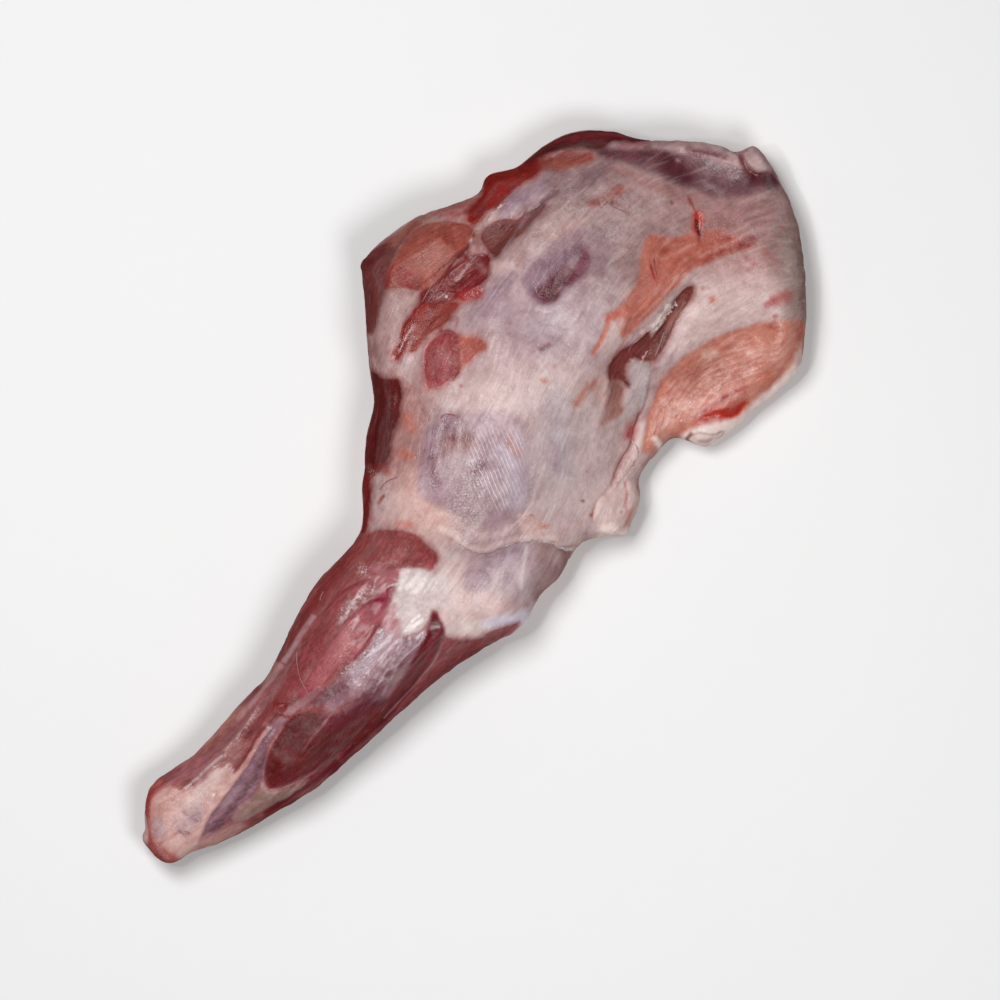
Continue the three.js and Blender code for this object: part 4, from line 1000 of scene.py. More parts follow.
def fine_mesh(name):
    """A copy of the solid's mesh, welded, made of quads, and cut finely where it shows."""
    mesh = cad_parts[NODE].data.copy()
    mesh.materials.clear()
    net = bmesh.new()
    net.from_mesh(mesh)
    bmesh.ops.remove_doubles(net, verts=net.verts, dist=WELD)
    bmesh.ops.join_triangles(net, faces=net.faces, angle_face_threshold=QUAD_LIMIT,
                             angle_shape_threshold=QUAD_LIMIT)
    net.to_mesh(mesh)
    net.free()
    piece = bpy.data.objects.new(name, mesh)
    bpy.context.scene.collection.objects.link(piece)
    rounding = piece.modifiers.new("rounding", "SUBSURF")
    rounding.levels = rounding.render_levels = 1
    bpy.context.view_layer.update()
    rounded = bpy.data.meshes.new_from_object(piece.evaluated_get(bpy.context.evaluated_depsgraph_get()))
    piece.modifiers.clear()
    net = bmesh.new()
    net.from_mesh(rounded)
    net.normal_update()
    upper = [face for face in net.faces if face.normal.z > UPPER_FROM]
    edges = list({edge for face in upper for edge in face.edges})
    bmesh.ops.subdivide_edges(net, edges=edges, cuts=NET_CUTS, use_grid_fill=True)
    net.to_mesh(rounded)
    net.free()
    rounded.name = name
    piece.data = rounded
    for polygon in rounded.polygons:
        polygon.use_smooth = True
    return piece


def vertex_places(mesh):
    places = np.zeros(len(mesh.vertices) * 3)
    mesh.vertices.foreach_get("co", places)
    return places.reshape(-1, 3)


def vertex_normals(mesh):
    normals = np.zeros(len(mesh.vertices) * 3)
    mesh.vertex_normals.foreach_get("vector", normals)
    return normals.reshape(-1, 3)


def put_places(mesh, places):
    mesh.vertices.foreach_set("co", places.ravel())
    mesh.update()


def evened(mesh, places, rounds):
    """Places moved half way to the middle of their neighbours, round by round."""
    edges = np.zeros(len(mesh.edges) * 2, int)
    mesh.edges.foreach_get("vertices", edges)
    a, b = edges.reshape(-1, 2).T
    count = np.bincount(np.concatenate((a, b)), minlength=len(places))
    flat = places[:, 2] < WELD
    for _ in range(rounds):
        total = np.zeros_like(places)
        for axis in range(places.shape[1]):
            total[:, axis] = np.bincount(a, places[b, axis], len(places))
            total[:, axis] += np.bincount(b, places[a, axis], len(places))
        places = 0.5 * (places + total / count[:, None])
        places[flat, 2] = 0
    return places


def put_colours(mesh, name, colours):
    light = np.maximum(linear(colours) - SHEEN, DARKEST)
    layer = mesh.attributes.new(name, "FLOAT_COLOR", "POINT")
    layer.data.foreach_set("color", np.column_stack((light, np.ones(len(light)))).ravel())


def put_vectors(mesh, name, vectors):
    layer = mesh.attributes.new(name, "FLOAT_VECTOR", "POINT")
    layer.data.foreach_set("vector", np.asarray(vectors, float).ravel())


# The film that is drawn into fine pleats over the bulge of the upper arm.
PLEATS = Stain("pleats", "silver", [(480, 436), (500, 430), (518, 438), (522, 464), (520, 492),
                (508, 510), (490, 508), (478, 490), (472, 462)], None, 1, 10, 4)
PLEAT_RUN = [(464, 414), (477, 445), (499, 495), (515, 531)]
PLEAT_GAP = 4.0  # pixels

# The breast flap lies in soft folds that follow its upper edge.
FLAP_FOLDS = Stain("folds of the flap", "silver", [(650, 440), (655, 410), (668, 382), (690, 365),
                    (724, 350), (770, 342), (780, 356), (740, 382), (706, 406), (672, 426)], None, 0.27,
                   10, 4)
FOLD_RUN = [(652, 440), (664, 400), (692, 366), (740, 345), (806, 335)]
FOLD_GAP = 5.5  # pixels

# Where a mark runs down a wall of the meat, it wanders and leans.
WALL_SWAY = 18  # pixels
SWAY_SIZE = 20  # mm
SWAY_SEEDS = (41, 43)  # across and down
WALL_LEAN = 0.7  # pixels for each mm below the rim
RIM_HEIGHT = 36  # mm
SWAY_FROM = 0.4  # how level a face is where the sway begins
SWAY_BLEND = 0.5
STEADY_TO = 200  # the pixel column up to which the sawn end keeps its marks as they are
STEADY_BLEND = 30  # pixels

# The sawn joint at the thin end: a ring of gristle round the marrow. Lengths are in mm.
JOINT = (153, 828)  # the pixel at its middle
JOINT_HEIGHT = 18
JOINT_RADIUS = 11
MARROW_RADIUS = 6.5
JOINT_SOFT = 2
JOINT_LAYERS = (("mm", 7, 77, 3, 2),)  # how far the ring wanders
GRISTLE = 0.8  # how much of its colour takes
GRISTLE_RISE = 0.3
MARROW_COATS = (("raw edge", 0.6), ("dark wine", 0.5))

# The lower face takes over from the upper one where the walls turn under.
UNDER_FROM = 0.12  # how far a face looks down there
UNDER_BLEND = 0.35
UNDER_LAYERS = (("mm", 9, 71, 3, 0.35),)

# The fine relief, in mm.
SWELL_LAYERS = (("mm", 15, 5, 3, 0.5), ("mm", 5, 8, 2, 0.28))
BARE_DEPTH = 0.35  # how deep bare flesh lies in its film
FIBRE_RELIEF = (0.55, 3, 0.25)  # noises over the fibres and the film's streaks: features a mm, seed, height
STREAK_RELIEF = (0.4, 13, 0.3)


def wall_sway(places, normals):
    """How far the marks move on the walls, in pixels."""
    size = places / MM
    sway = np.column_stack([cloudy(size, SWAY_SIZE, seed, 2) for seed in SWAY_SEEDS]) * WALL_SWAY
    sway[:, 1] += (size[:, 2] - RIM_HEIGHT) * WALL_LEAN
    level = smooth((SWAY_FROM - normals[:, 2]) / SWAY_BLEND)
    level = level * smooth((to_pixels(places)[:, 0] - STEADY_TO) / STEADY_BLEND)
    return sway * level[:, None]


def relief(field, way):
    """Fine noise over the fibres or the streaks."""
    scale, seed, height = way
    return height * noise(field * scale, seed)


def pleating(pixels, upper):
    """How many gaps a place lies across the pleats or folds, and how much they show there."""
    across, strength = np.zeros((2, len(pixels)))
    for mark, line, spacing in ((PLEATS, PLEAT_RUN, PLEAT_GAP), (FLAP_FOLDS, FOLD_RUN, FOLD_GAP)):
        here = edge(depth_in(mark, pixels), mark.soft) * mark.amount * upper
        gap, side, _ = line_distance(pixels, curve_through(line, False))
        held = here > strength
        across[held] = (gap * side / spacing)[held]
        strength[held] = here[held]
    return across, strength


def paint_skin(mesh):
    """Paints the coats, moves the relief, and leaves both on the mesh."""
    places = evened(mesh, vertex_places(mesh), NET_ROUNDS)
    put_places(mesh, places)
    normals = vertex_normals(mesh)
    upward = normals[:, 2]
    size = places / MM
    fields = {"mm": size}
    top = Paint(places, "film", "muscle", wall_sway(places, normals))
    for marks in (FILM_TONES, BLADE, NECK_SIDE, TOP_EDGE, OUTER_SHEET, BREAST_FLAP, UPPER_ARM, ELBOW, SHANK,
                  SHANK_END, GLINTS):
        top.lay(marks)
    below = Paint(places, "blush", "maroon")
    below.lay(LOWER_FACE)
    under = smooth(0.5 - (upward + UNDER_FROM + layered(fields, UNDER_LAYERS)) / UNDER_BLEND)
    film, flesh, bare, fibre, wet, rise = (mixed(a, b, under) for a, b in zip(top.coats(), below.coats()))
    grain = np.where((under > 0.5)[:, None], below.grain, top.grain)
    grain[:, 2] = size[:, 2] * GRAIN_DOWN
    run = grain_along(top.pixels, FILM_RUN, FILM_STRETCH)
    run[:, 0] += layered(fields, FILM_BEND)
    run[:, 2] = size[:, 2] * FILM_DOWN

    # the walls get painted shade, partly the darker flesh of their sides, but for their pale
    # stretches; and the joint has its ring
    wall_shade = smooth((WALL_FROM - upward) / WALL_FROM) * (1 - under) * WALL_DARK
    for mark in PALE_WALLS:
        wall_shade *= 1 - edge(depth_in(mark, top.pixels), mark.soft)
    away = np.hypot(*(top.pixels - JOINT).T) * PIXEL / MM
    out = np.hypot(away, size[:, 2] - JOINT_HEIGHT) + layered(fields, JOINT_LAYERS)
    ring = smooth((JOINT_RADIUS - out) / JOINT_SOFT) * GRISTLE
    marrow = smooth((MARROW_RADIUS - out) / JOINT_SOFT)
    film = mixed(film, tone("wall"), wall_shade)
    flesh = mixed(flesh, tone("dark wall"), wall_shade)
    for name, share in (("white fat", ring), *((name, marrow * part) for name, part in MARROW_COATS)):
        film = mixed(film, tone(name), share)
        flesh = mixed(flesh, tone(name), share)

    rise += GRISTLE_RISE * ring - marrow
    rise -= BARE_DEPTH * smooth(bare)
    rise += layered(fields, SWELL_LAYERS)
    rise += relief(grain, FIBRE_RELIEF) * fibre * bare
    rise += relief(run, STREAK_RELIEF) * (1 - bare)
    places = places + normals * (rise * MM)[:, None]
    places[:, 2] = np.maximum(places[:, 2], 0)
    places[vertex_places(mesh)[:, 2] < WELD, 2] = 0
    put_places(mesh, places)

    clear = (1 - under) * smooth((upward - CLEAR_FROM) / CLEAR_BLEND)
    matte = smooth((MATTE_FROM - upward) / (MATTE_FROM - MATTE_TO))
    put_colours(mesh, "film", film)
    put_colours(mesh, "flesh", flesh)
    put_vectors(mesh, "grain", grain)
    put_vectors(mesh, "run", run)
    put_vectors(mesh, "coat", np.column_stack((bare, fibre, wet)))
    put_vectors(mesh, "pleat", np.column_stack((*pleating(top.pixels, 1 - under), matte)))
    put_vectors(mesh, "shine", np.outer(top.shine * clear, (1, 0, 0)))


# ---------------------------------------------------------------- strips and threads on the skin

# A strip of torn film: its root runs along the points, and its free edge stands off to one side.
#   width in pixels   lift of the free edge in mm   side 1 or -1   ragged 0 to 1
Strip = namedtuple("Strip", "name points width lift side ragged")

TORN_FILM = (
    Strip("edge of the elbow's sheet", [(458, 541), (470, 549), (486, 551), (500, 546), (520, 540),
           (540, 538)], 3, 0.35, 1, 0.7),
    Strip("thick edge of the elbow's sheet", [(540, 538), (554, 540), (564, 546), (574, 545),
           (584, 541)], 6, 0.9, 1, 0.6),
    Strip("fringe beside the brown muscle", [(474, 240), (481, 228), (494, 214), (508, 203)], 3.5, 0.8,
          -1, 0.9),
    Strip("teeth of the slit", [(675, 300), (668, 310), (660, 320), (650, 329), (641, 334)], 7, 0.7, -1,
          1.0),
    Strip("veil in the pocket", [(650, 350), (644, 362), (640, 376)], 6, 0.6, 1, 0.9),
    Strip("edge of the pinkish patch", [(520, 520), (530, 513), (540, 519), (549, 528)], 4, 0.6, 1, 0.8),
    Strip("edge of the small flap", [(630, 436), (640, 450), (634, 466), (622, 482), (612, 494)], 4, 0.7,
          1, 0.7),
)

# A thread lies on the skin along its points. Its width is in mm.
Thread = namedtuple("Thread", "points width")

BLOOD_THREADS = (
    Thread([(274, 700), (273, 708), (278, 714), (285, 716), (291, 718)], 0.5),
    Thread([(278, 704), (284, 702), (287, 706), (282, 709)], 0.7),
    Thread([(300, 712), (312, 710), (326, 706)], 0.3),
    Thread([(304, 714), (315, 712), (324, 709)], 0.25),
    Thread([(366, 601), (370, 604), (375, 607)], 0.35),
    Thread([(380, 490), (384, 484), (390, 480), (398, 477)], 0.3),
    Thread([(440, 418), (447, 414), (456, 416)], 0.3),
    Thread([(600, 208), (608, 203), (616, 208), (627, 213)], 0.25),
    Thread([(654, 258), (655, 268), (658, 280)], 0.35),
    Thread([(688, 198), (693, 207), (697, 215)], 0.3),
    Thread([(183, 831), (188, 832), (191, 834)], 0.25),
)

PALE_THREADS = (
    Thread([(421, 303), (428, 292), (433, 281)], 0.16),
    Thread([(426, 304), (436, 290), (444, 278)], 0.12),
    Thread([(297, 652), (297, 664), (300, 678), (306, 690), (311, 698)], 0.16),
    Thread([(320, 601), (321, 596), (324, 591)], 0.16),
    Thread([(344, 668), (354, 664), (364, 659), (371, 652)], 0.2),
    Thread([(471, 238), (473, 232), (479, 226)], 0.25),
    Thread([(560, 318), (568, 316), (577, 317)], 0.2),
    Thread([(560, 330), (569, 329), (578, 331)], 0.2),
    Thread([(664, 332), (660, 344), (655, 356)], 0.2),
    Thread([(640, 338), (632, 345), (628, 352)], 0.2),
)

THREAD_SIDES = 6
THREAD_STEP = 1.0  # pixels between the rings of a thread
THREAD_WOBBLE = 0.15  # mm
THREAD_WAVE = 3  # pixels along it that a wobble takes
THREAD_WAVE_SIDES = (0, 9)  # apart in the noise, the wobbles in X and in Y
THREAD_SEED_GAP = 3.7  # and those of two threads
THREAD_RISE = 0.35  # how much of its width its middle stands over the skin
THREAD_TIP = 0.3  # how thick its tips are beside its middle
THREAD_TAPER = 3  # rings over which a tip thickens
STRIP_STEP = 0.7  # pixels between the stations of a strip
STRIP_RUNS = 5  # rows of points across a strip
STRIP_SEED_GAP = 7.3  # apart in the noise, two strips
STRIP_ROOT = 0.3  # mm that its root lies in the skin
STRIP_OFF = 0.08  # mm that all of it stands off the skin
STRIP_THICK = 0.35  # mm at the root
STRIP_THINNING = 0.6  # how much of that is gone at the free edge
STRIP_TAPER = 4  # pixels over which its ends widen
STRIP_END = 0.15  # how wide its ends are beside its middle
STRIP_WAVES = ((3.1, 0, 0.6), (1.1, 5, 0.4))  # waves of the free edge: size in pixels, seed and share
TEAR_GAIN = 1.4  # how sharply those waves tear it
TEAR_DROP = 0.2  # how much more they take
TEAR_LEAST = 0.05  # and what they leave
CURL_SIZE = 5  # pixels along it that a curl takes
CURL_SEED = 9
CURL_LEAST = 0.4  # how much of its lift the free edge has at least
CURL_STEEPNESS = 1.5


def skin_tree():
    return BVHTree.FromObject(bpy.data.objects["meat"], bpy.context.evaluated_depsgraph_get())


def down_on(tree, pixel):
    """Where the sight line of a pixel meets the skin, and the way out of the skin there."""
    eye = Vector((*from_pixel(VIEW_MIDDLE), LEVEL + DISTANCE))
    place, way, _, _ = tree.ray_cast(eye, (Vector((*from_pixel(pixel), LEVEL)) - eye).normalized())
    return (None, None) if place is None else (np.array(place), np.array(way))


def even_steps(points, step):
    """Points a step apart along the smooth curve through the given ones."""
    line = curve_through(points, False, 8)
    gone = np.concatenate(([0], np.cumsum(np.hypot(*np.diff(line, axis=0).T))))
    at = np.linspace(0, gone[-1], max(4, int(gone[-1] / step)))
    return np.stack([np.interp(at, gone, line[:, n]) for n in (0, 1)], 1), at


def new_piece(name, places, faces, material):
    mesh = bpy.data.meshes.new(name)
    mesh.from_pydata([tuple(place) for place in places], [], faces)
    mesh.materials.append(material)
    net = bmesh.new()
    net.from_mesh(mesh)
    bmesh.ops.recalc_face_normals(net, faces=net.faces)
    net.to_mesh(mesh)
    net.free()
    for polygon in mesh.polygons:
        polygon.use_smooth = True
    piece = bpy.data.objects.new(name, mesh)
    bpy.context.scene.collection.objects.link(piece)
    return ride(piece)


def tube_faces(first, rows, columns):
    """Faces between the rings of a tube, and one at each end."""
    faces = []
    for row in range(rows - 1):
        for column in range(columns):
            right = (column + 1) % columns
            a, b = first + row * columns, first + (row + 1) * columns
            faces.append((a + column, a + right, b + right, b + column))
    last = first + (rows - 1) * columns
    return [*faces, tuple(range(first, first + columns)), tuple(range(last, last + columns))]


def lay_strip(tree, strip, seed, places, faces):
    """Adds the points and faces of a strip, station by station along its root."""
    line, at = even_steps(strip.points, STRIP_STEP)
    ways = np.gradient(line, axis=0)
    ways /= np.hypot(*ways.T)[:, None]
    across = np.stack((-ways[:, 1], ways[:, 0]), 1) * strip.side
    spot = np.stack((at, np.full(len(at), seed * STRIP_SEED_GAP), np.zeros(len(at))), 1)
    wave = 0.5 + 0.5 * sum(share * noise(spot / size, seed + more) for size, more, share in STRIP_WAVES)
    torn = np.clip(wave * TEAR_GAIN - TEAR_DROP, TEAR_LEAST, 1)
    taper = np.minimum(1, np.minimum(at, at[-1] - at) / STRIP_TAPER + STRIP_END)
    widths = strip.width * (1 - strip.ragged + strip.ragged * torn) * taper
    curl = 0.5 + 0.5 * noise(spot / CURL_SIZE, seed + CURL_SEED)
    curls = strip.lift * (CURL_LEAST + (1 - CURL_LEAST) * curl) * taper
    first = len(places)
    rows = 0
    for n, point in enumerate(line):
        ring = []
        for share in np.arange(STRIP_RUNS) / (STRIP_RUNS - 1):
            place, way = down_on(tree, point + across[n] * widths[n] * share)
            if place is None:
                break
            off = curls[n] * share**CURL_STEEPNESS - STRIP_ROOT * (1 - share) + STRIP_OFF
            top = place + way * off * MM
            ring.append((top, top - way * STRIP_THICK * (1 - STRIP_THINNING * share) * MM))
        if len(ring) < STRIP_RUNS:
            continue
        places += [one[0] for one in ring] + [one[1] for one in reversed(ring)]
        rows += 1
    faces += tube_faces(first, rows, 2 * STRIP_RUNS)


def lay_thread(tree, thread, seed, places, faces):
    """Adds the points and faces of a thread, ring by ring along it."""
    line, at = even_steps(thread.points, THREAD_STEP)
    middles = []
    for point, gone in zip(line, at):
        place, way = down_on(tree, point)
        if place is not None:
            at_noise = (gone / THREAD_WAVE, seed * THREAD_SEED_GAP)
            spots = np.array([(*at_noise, side) for side in THREAD_WAVE_SIDES])
            sway = np.array((*(THREAD_WOBBLE * noise(spots, seed)), 0))
            middles.append((place + (sway + way * thread.width * THREAD_RISE) * MM, way))
    first = len(places)
    count = len(middles)
    for n, (middle, way) in enumerate(middles):
        ahead = middles[min(n + 1, count - 1)][0] - middles[max(n - 1, 0)][0]
        side = np.cross(ahead, way)
        side /= np.linalg.norm(side)
        radius = thread.width / 2 * MM * min(1, THREAD_TIP + min(n, count - 1 - n) / THREAD_TAPER)
        for turn in np.arange(THREAD_SIDES) * 2 * np.pi / THREAD_SIDES:
            places.append(middle + (side * np.cos(turn) + way * np.sin(turn)) * radius)
    faces += tube_faces(first, count, THREAD_SIDES)


# ---------------------------------------------------------------- materials

# Noises of the skin. "space" is in features a metre, and "grain" and "run" in features a mm along
# the fibres and the film's streaks. Then come detail, roughness and warp.
SKIN_NOISES = {
    "dapple": ("space", 950, 4, 0.7, 0.0),
    "fine": ("space", 1100, 3, 0.6, 0.0),
    "speck": ("space", 420, 4, 0.6, 0.3),
    "cloud": ("space", 120, 4, 0.55, 0.4),
    "streak": ("grain", 1.6, 5, 0.65, 0.2),
    "thread": ("grain", 0.9, 3, 0.5, 0.3),
    "strand": ("run", 0.8, 4, 0.6, 0.3),
    "wisp": ("run", 0.25, 3, 0.55, 0.3),
    "vein": ("space", 70, 4, 0.6, 0.8),
    "vein patch": ("space", 26, 2, 0.5, 0.0),
    "bend": ("space", 110, 3, 0.5, 0.0),
}
# How much each noise darkens and lightens a coat.
FILM_TONING = (("cloud", 0.26), ("strand", 0.18), ("speck", 0.12))
FLESH_TONING = (("streak", 0.28), ("cloud", 0.2), ("speck", 0.1), ("thread", 0.24))
# How far the edge between the coats wanders, and how much each noise raises the bump.
STREAK_WANDER = 0.6
SPECK_WANDER = 0.7
STREAK_BUMP = 0.5
STRAND_BUMP = 0.4
FINE_BUMP = 0.2
SPECK_BUMP = 0.5
CREST_BUMP = 0.45
BARE_DROP = 0.3
# Steps, as the value where they start, the value where they end, and what they reach there.
COAT_STEP = (0.25, 0.75)
TONE_STEP = (0.3, 0.7)
WISP_STEP = (0.5, 0.74, 0.16)
VEIN_STEP = (0.012, 0.0, 0.35)
VEIN_PATCH_STEP = (0.56, 0.66)
FAT_STEP = (0.60, 0.78, 0.16)
DAPPLE_STEP = (0.46, 0.68)
CREST_STEP = (0.7, 1.0)
CLOUD_GLINT_STEP = (0.4, 0.62, 0.35)
TISSUE_STEP = (0.35, 0.7)
# the glints are painted highlights, mixed into the base colour
DAPPLE_GLINT = 0.35  # how much the dapple adds to the glints of the crests
SHINE_GLINT = 0.6  # and to the glints of the marks
GLINT_COLOUR = (0.9, 0.88, 0.9, 1)
PLEAT_BEND = 0.9  # how far the pleats bend, in their own gaps
GRAINED = 0.3  # how much the noises roughen the skin
WET_SMOOTHING = 0.12  # how much smoother the wettest mark is
FLOOR_COLOURS = ((0.84, 0.84, 0.84, 1), (0.81, 0.81, 0.81, 1))


class Value:
    """A socket with a number in it, for sums written as sums."""

    def __init__(self, shader, socket):
        self.shader = shader
        self.socket = socket

    def __add__(self, other):
        return self.shader.sum("ADD", self, other)

    def __sub__(self, other):
        return self.shader.sum("SUBTRACT", self, other)

    def __rsub__(self, other):
        return self.shader.sum("SUBTRACT", other, self)

    def __mul__(self, other):
        return self.shader.sum("MULTIPLY", self, other)

    def __abs__(self):
        return self.shader.sum("ABSOLUTE", self)

    __radd__ = __add__
    __rmul__ = __mul__


class Shader:
    """A material and its nodes."""

    def __init__(self, name):
        self.material = bpy.data.materials.new(name)
        self.material.use_nodes = True
        self.tree = self.material.node_tree
        self.tree.nodes.clear()
        self.space = self.node("ShaderNodeTexCoord").outputs["Object"]

    def node(self, kind, settings=None, inputs=None):
        """Adds a node: its settings first, then the values or links of its sockets."""
        made = self.tree.nodes.new(kind)
        for key, value in (settings or {}).items():
            setattr(made, key, value)
        for key, value in (inputs or {}).items():
            socket = made.inputs[key]
            source = value.socket if isinstance(value, Value) else value
            if isinstance(source, bpy.types.NodeSocket):
                self.tree.links.new(source, socket)
            else:
                socket.default_value = source
        return made

    def sum(self, operation, *values):
        made = self.node("ShaderNodeMath", {"operation": operation}, dict(enumerate(values)))
        return Value(self, made.outputs[0])

    def attribute(self, name):
        return self.node("ShaderNodeAttribute", {"attribute_type": "GEOMETRY", "attribute_name": name})

    def parts(self, name):
        """The three numbers of a painted vector."""
        vector = self.attribute(name).outputs["Vector"]
        made = self.node("ShaderNodeSeparateXYZ", None, {"Vector": vector})
        return [Value(self, socket) for socket in made.outputs]

    def noise(self, vector, scale, detail=2, rough=0.5, warp=0.0):
        made = self.node("ShaderNodeTexNoise", {"noise_dimensions": "3D"},
                         {"Vector": vector, "Scale": scale, "Detail": detail, "Roughness": rough,
                          "Distortion": warp})
        return Value(self, made.outputs["Fac"])

    def step(self, value, low, high, to=1.0):
        """0 up to low, and to from high on, smoothly."""
        made = self.node("ShaderNodeMapRange", {"interpolation_type": "SMOOTHSTEP"},
                         {"Value": value, "From Min": low, "From Max": high, "To Min": 0.0, "To Max": to})
        return Value(self, made.outputs["Result"])

    def mix(self, share, a, b, blend="MIX"):
        made = self.node("ShaderNodeMix", {"data_type": "RGBA", "blend_type": blend},
                         {0: share, 6: a, 7: b})
        return made.outputs[2]

    def toned(self, coat, noises, toning):
        """A coat that noises darken and lighten."""
        for name, share in toning:
            light = self.mix(self.step(noises[name], *TONE_STEP), rgba("low tone"), rgba("high tone"))
            coat = self.mix(share, coat, light, "SOFT_LIGHT")
        return coat

    def bump(self, height, strength, distance):
        made = self.node("ShaderNodeBump", None,
                         {"Height": height, "Strength": strength, "Distance": distance})
        return made.outputs["Normal"]

    def surface(self, **inputs):
        """The surface shader, with its sockets named in words joined by underscores."""
        sockets = {name.replace("_", " "): value for name, value in inputs.items()}
        return self.node("ShaderNodeBsdfPrincipled", None, sockets).outputs[0]

    def finish(self, surface):
        self.node("ShaderNodeOutputMaterial", None, {"Surface": surface})
        return self.material


def rgba(name):
    return (*linear(PALETTE[name]), 1)


def skin_material(settings):
    """Film over flesh, with fibres, threads of fat, capillaries, pleats and painted glints."""
    shader = Shader("meat_skin")
    fields = {name: shader.attribute(name).outputs["Vector"] for name in ("grain", "run")}
    fields["space"] = shader.space
    bare, fibre, wet = shader.parts("coat")
    across, pleated, wall = shader.parts("pleat")
    shine = shader.parts("shine")[0]
    noises = {name: shader.noise(fields[on], *rest) for name, (on, *rest) in SKIN_NOISES.items()}
    cloud, fine, speck, streak, strand = (
        noises[name] for name in ("cloud", "fine", "speck", "streak", "strand"))
    show = shader.step(bare + (streak - 0.5) * STREAK_WANDER + (speck - 0.5) * SPECK_WANDER, *COAT_STEP)

    # film: cloudy and streaked, with opaque wisps and a few capillaries
    film = shader.toned(shader.attribute("film").outputs["Color"], noises, FILM_TONING)
    film = shader.mix(shader.step(noises["wisp"], *WISP_STEP), film, rgba("ivory"))
    vein = shader.step(abs(noises["vein"] - 0.5), *VEIN_STEP)
    vein_here = shader.step(noises["vein patch"], *VEIN_PATCH_STEP)
    film = shader.mix(vein * vein_here, film, rgba("capillary"))

    # flesh: fibres, with pale fat between some of them
    flesh = shader.toned(shader.attribute("flesh").outputs["Color"], noises, FLESH_TONING)
    flesh = shader.mix(shader.step(noises["thread"], *FAT_STEP) * fibre, flesh, rgba("beige"))
    base = shader.mix(show, film, flesh)

    # pleats: crests in the bump, and painted highlights along the crests and over the glint marks
    wave = shader.sum("SINE", (across + noises["bend"] * PLEAT_BEND) * (2 * np.pi)) * 0.5 + 0.5
    crest = wave * pleated
    dapple = shader.step(noises["dapple"], *DAPPLE_STEP)
    broken = shader.step(cloud, *CLOUD_GLINT_STEP) + dapple * DAPPLE_GLINT
    glint = shader.step(wave, *CREST_STEP) * pleated * broken
    glint = glint + dapple * shine * SHINE_GLINT
    base = shader.mix(glint, base, GLINT_COLOUR)

    height = streak * show * STREAK_BUMP + strand * (1 - show) * STRAND_BUMP
    height = height + fine * FINE_BUMP + speck * SPECK_BUMP + crest * CREST_BUMP - show * BARE_DROP
    normal = shader.bump(height, 0.8, 0.8 * MM)
    rough = (fine - 0.5) * GRAINED + settings.roughness - wet * WET_SMOOTHING + (cloud - 0.5) * GRAINED
    moist = shader.surface(
        Base_Color=base,
        Roughness=rough,
        Normal=normal,
        Subsurface_Weight=settings.glow,
        Subsurface_Radius=(1.0, 0.35, 0.25),
        Subsurface_Scale=2 * MM,
        Specular_IOR_Level=0.4,
        Coat_Weight=shader.step(wet, 0.0, 1.0) * (1 - wall) * 0.4,
        Coat_Roughness=0.15,
    )
    dull = shader.surface(Base_Color=base, Roughness=0.8, Normal=normal, Specular_IOR_Level=0.05)
    surface = shader.node("ShaderNodeMixShader", None, {0: wall, 1: moist, 2: dull})
    return shader.finish(surface.outputs[0])


def tissue_material(name, colour, deep, glow):
    """Wet tissue: cloudy between a colour and a deeper one, with a finely grained shine."""
    shader = Shader(name)
    cloud = shader.noise(shader.space, 260, 4, 0.6, 0.4)
    fine = shader.noise(shader.space, 1300, 3, 0.6)
    return shader.finish(shader.surface(
        Base_Color=shader.mix(shader.step(cloud, *TISSUE_STEP), (*colour, 1), (*deep, 1)),
        Roughness=fine * 0.3 + 0.15,
        Normal=shader.bump(cloud + fine * 0.5, 0.5, 0.4 * MM),
        Subsurface_Weight=glow,
        Subsurface_Radius=(1.0, 0.5, 0.4),
        Subsurface_Scale=MM,
    ))


def floor_material():
    shader = Shader("pale_floor")
    speck = shader.noise(shader.space, 60, 3)
    return shader.finish(shader.surface(
        Base_Color=shader.mix(speck * 0.3, *FLOOR_COLOURS), Roughness=0.9))


# ---------------------------------------------------------------- add-on


class MUTTON_PG_skin(bpy.types.PropertyGroup):
    """Finish of the meat."""

    roughness: bpy.props.FloatProperty(
        name="Roughness", description="How dull the driest film is", default=0.3, min=0.05, max=1,
        subtype="FACTOR")
    glow: bpy.props.FloatProperty(
        name="Glow", description="How much light goes through the flesh", default=0.12, min=0, max=1,
        subtype="FACTOR")


def colour_setting(name, note, colour):
    return bpy.props.FloatVectorProperty(
        name=name, description=note, default=tuple(linear(PALETTE[colour])), size=3, min=0, max=1,
        subtype="COLOR")


class MUTTON_PG_tissue(bpy.types.PropertyGroup):
    """Colours of the torn film and the threads."""

    film: colour_setting("Torn film", "Colour of the strips of torn film", "pearl")
    film_deep: colour_setting("Film shade", "Deeper colour in the torn film", "dull pink")
    blood: colour_setting("Blood threads", "Colour of the threads of blood", "deep red")
    blood_deep: colour_setting("Blood shade", "Deeper colour in the threads of blood", "dark blood")
    pale: colour_setting("Pale threads", "Colour of the threads of fat", "milk")
    pale_deep: colour_setting("Pale shade", "Deeper colour in the threads of fat", "grey pink")


class MUTTON_PG_stage(bpy.types.PropertyGroup):
    """Floor, lights and camera."""

    floor_size: bpy.props.FloatProperty(
        name="Floor", description="Side of the square floor", default=6, min=1, unit="LENGTH")
    overhead: bpy.props.FloatProperty(
        name="Overhead", description="Power of the soft light overhead", default=15.9, min=0, unit="POWER")
    fill: bpy.props.FloatProperty(
        name="Fill", description="Power of the soft light from the other side", default=11.4, min=0,
        unit="POWER")
    key: bpy.props.FloatProperty(
        name="Key", description="Power of the small light that makes the glints", default=3.6, min=0,
        unit="POWER")
    sky: bpy.props.FloatProperty(
        name="Sky", description="Strength of the light from all round", default=0.12, min=0)


def ride(piece):
    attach(piece, BODY)
    return piece


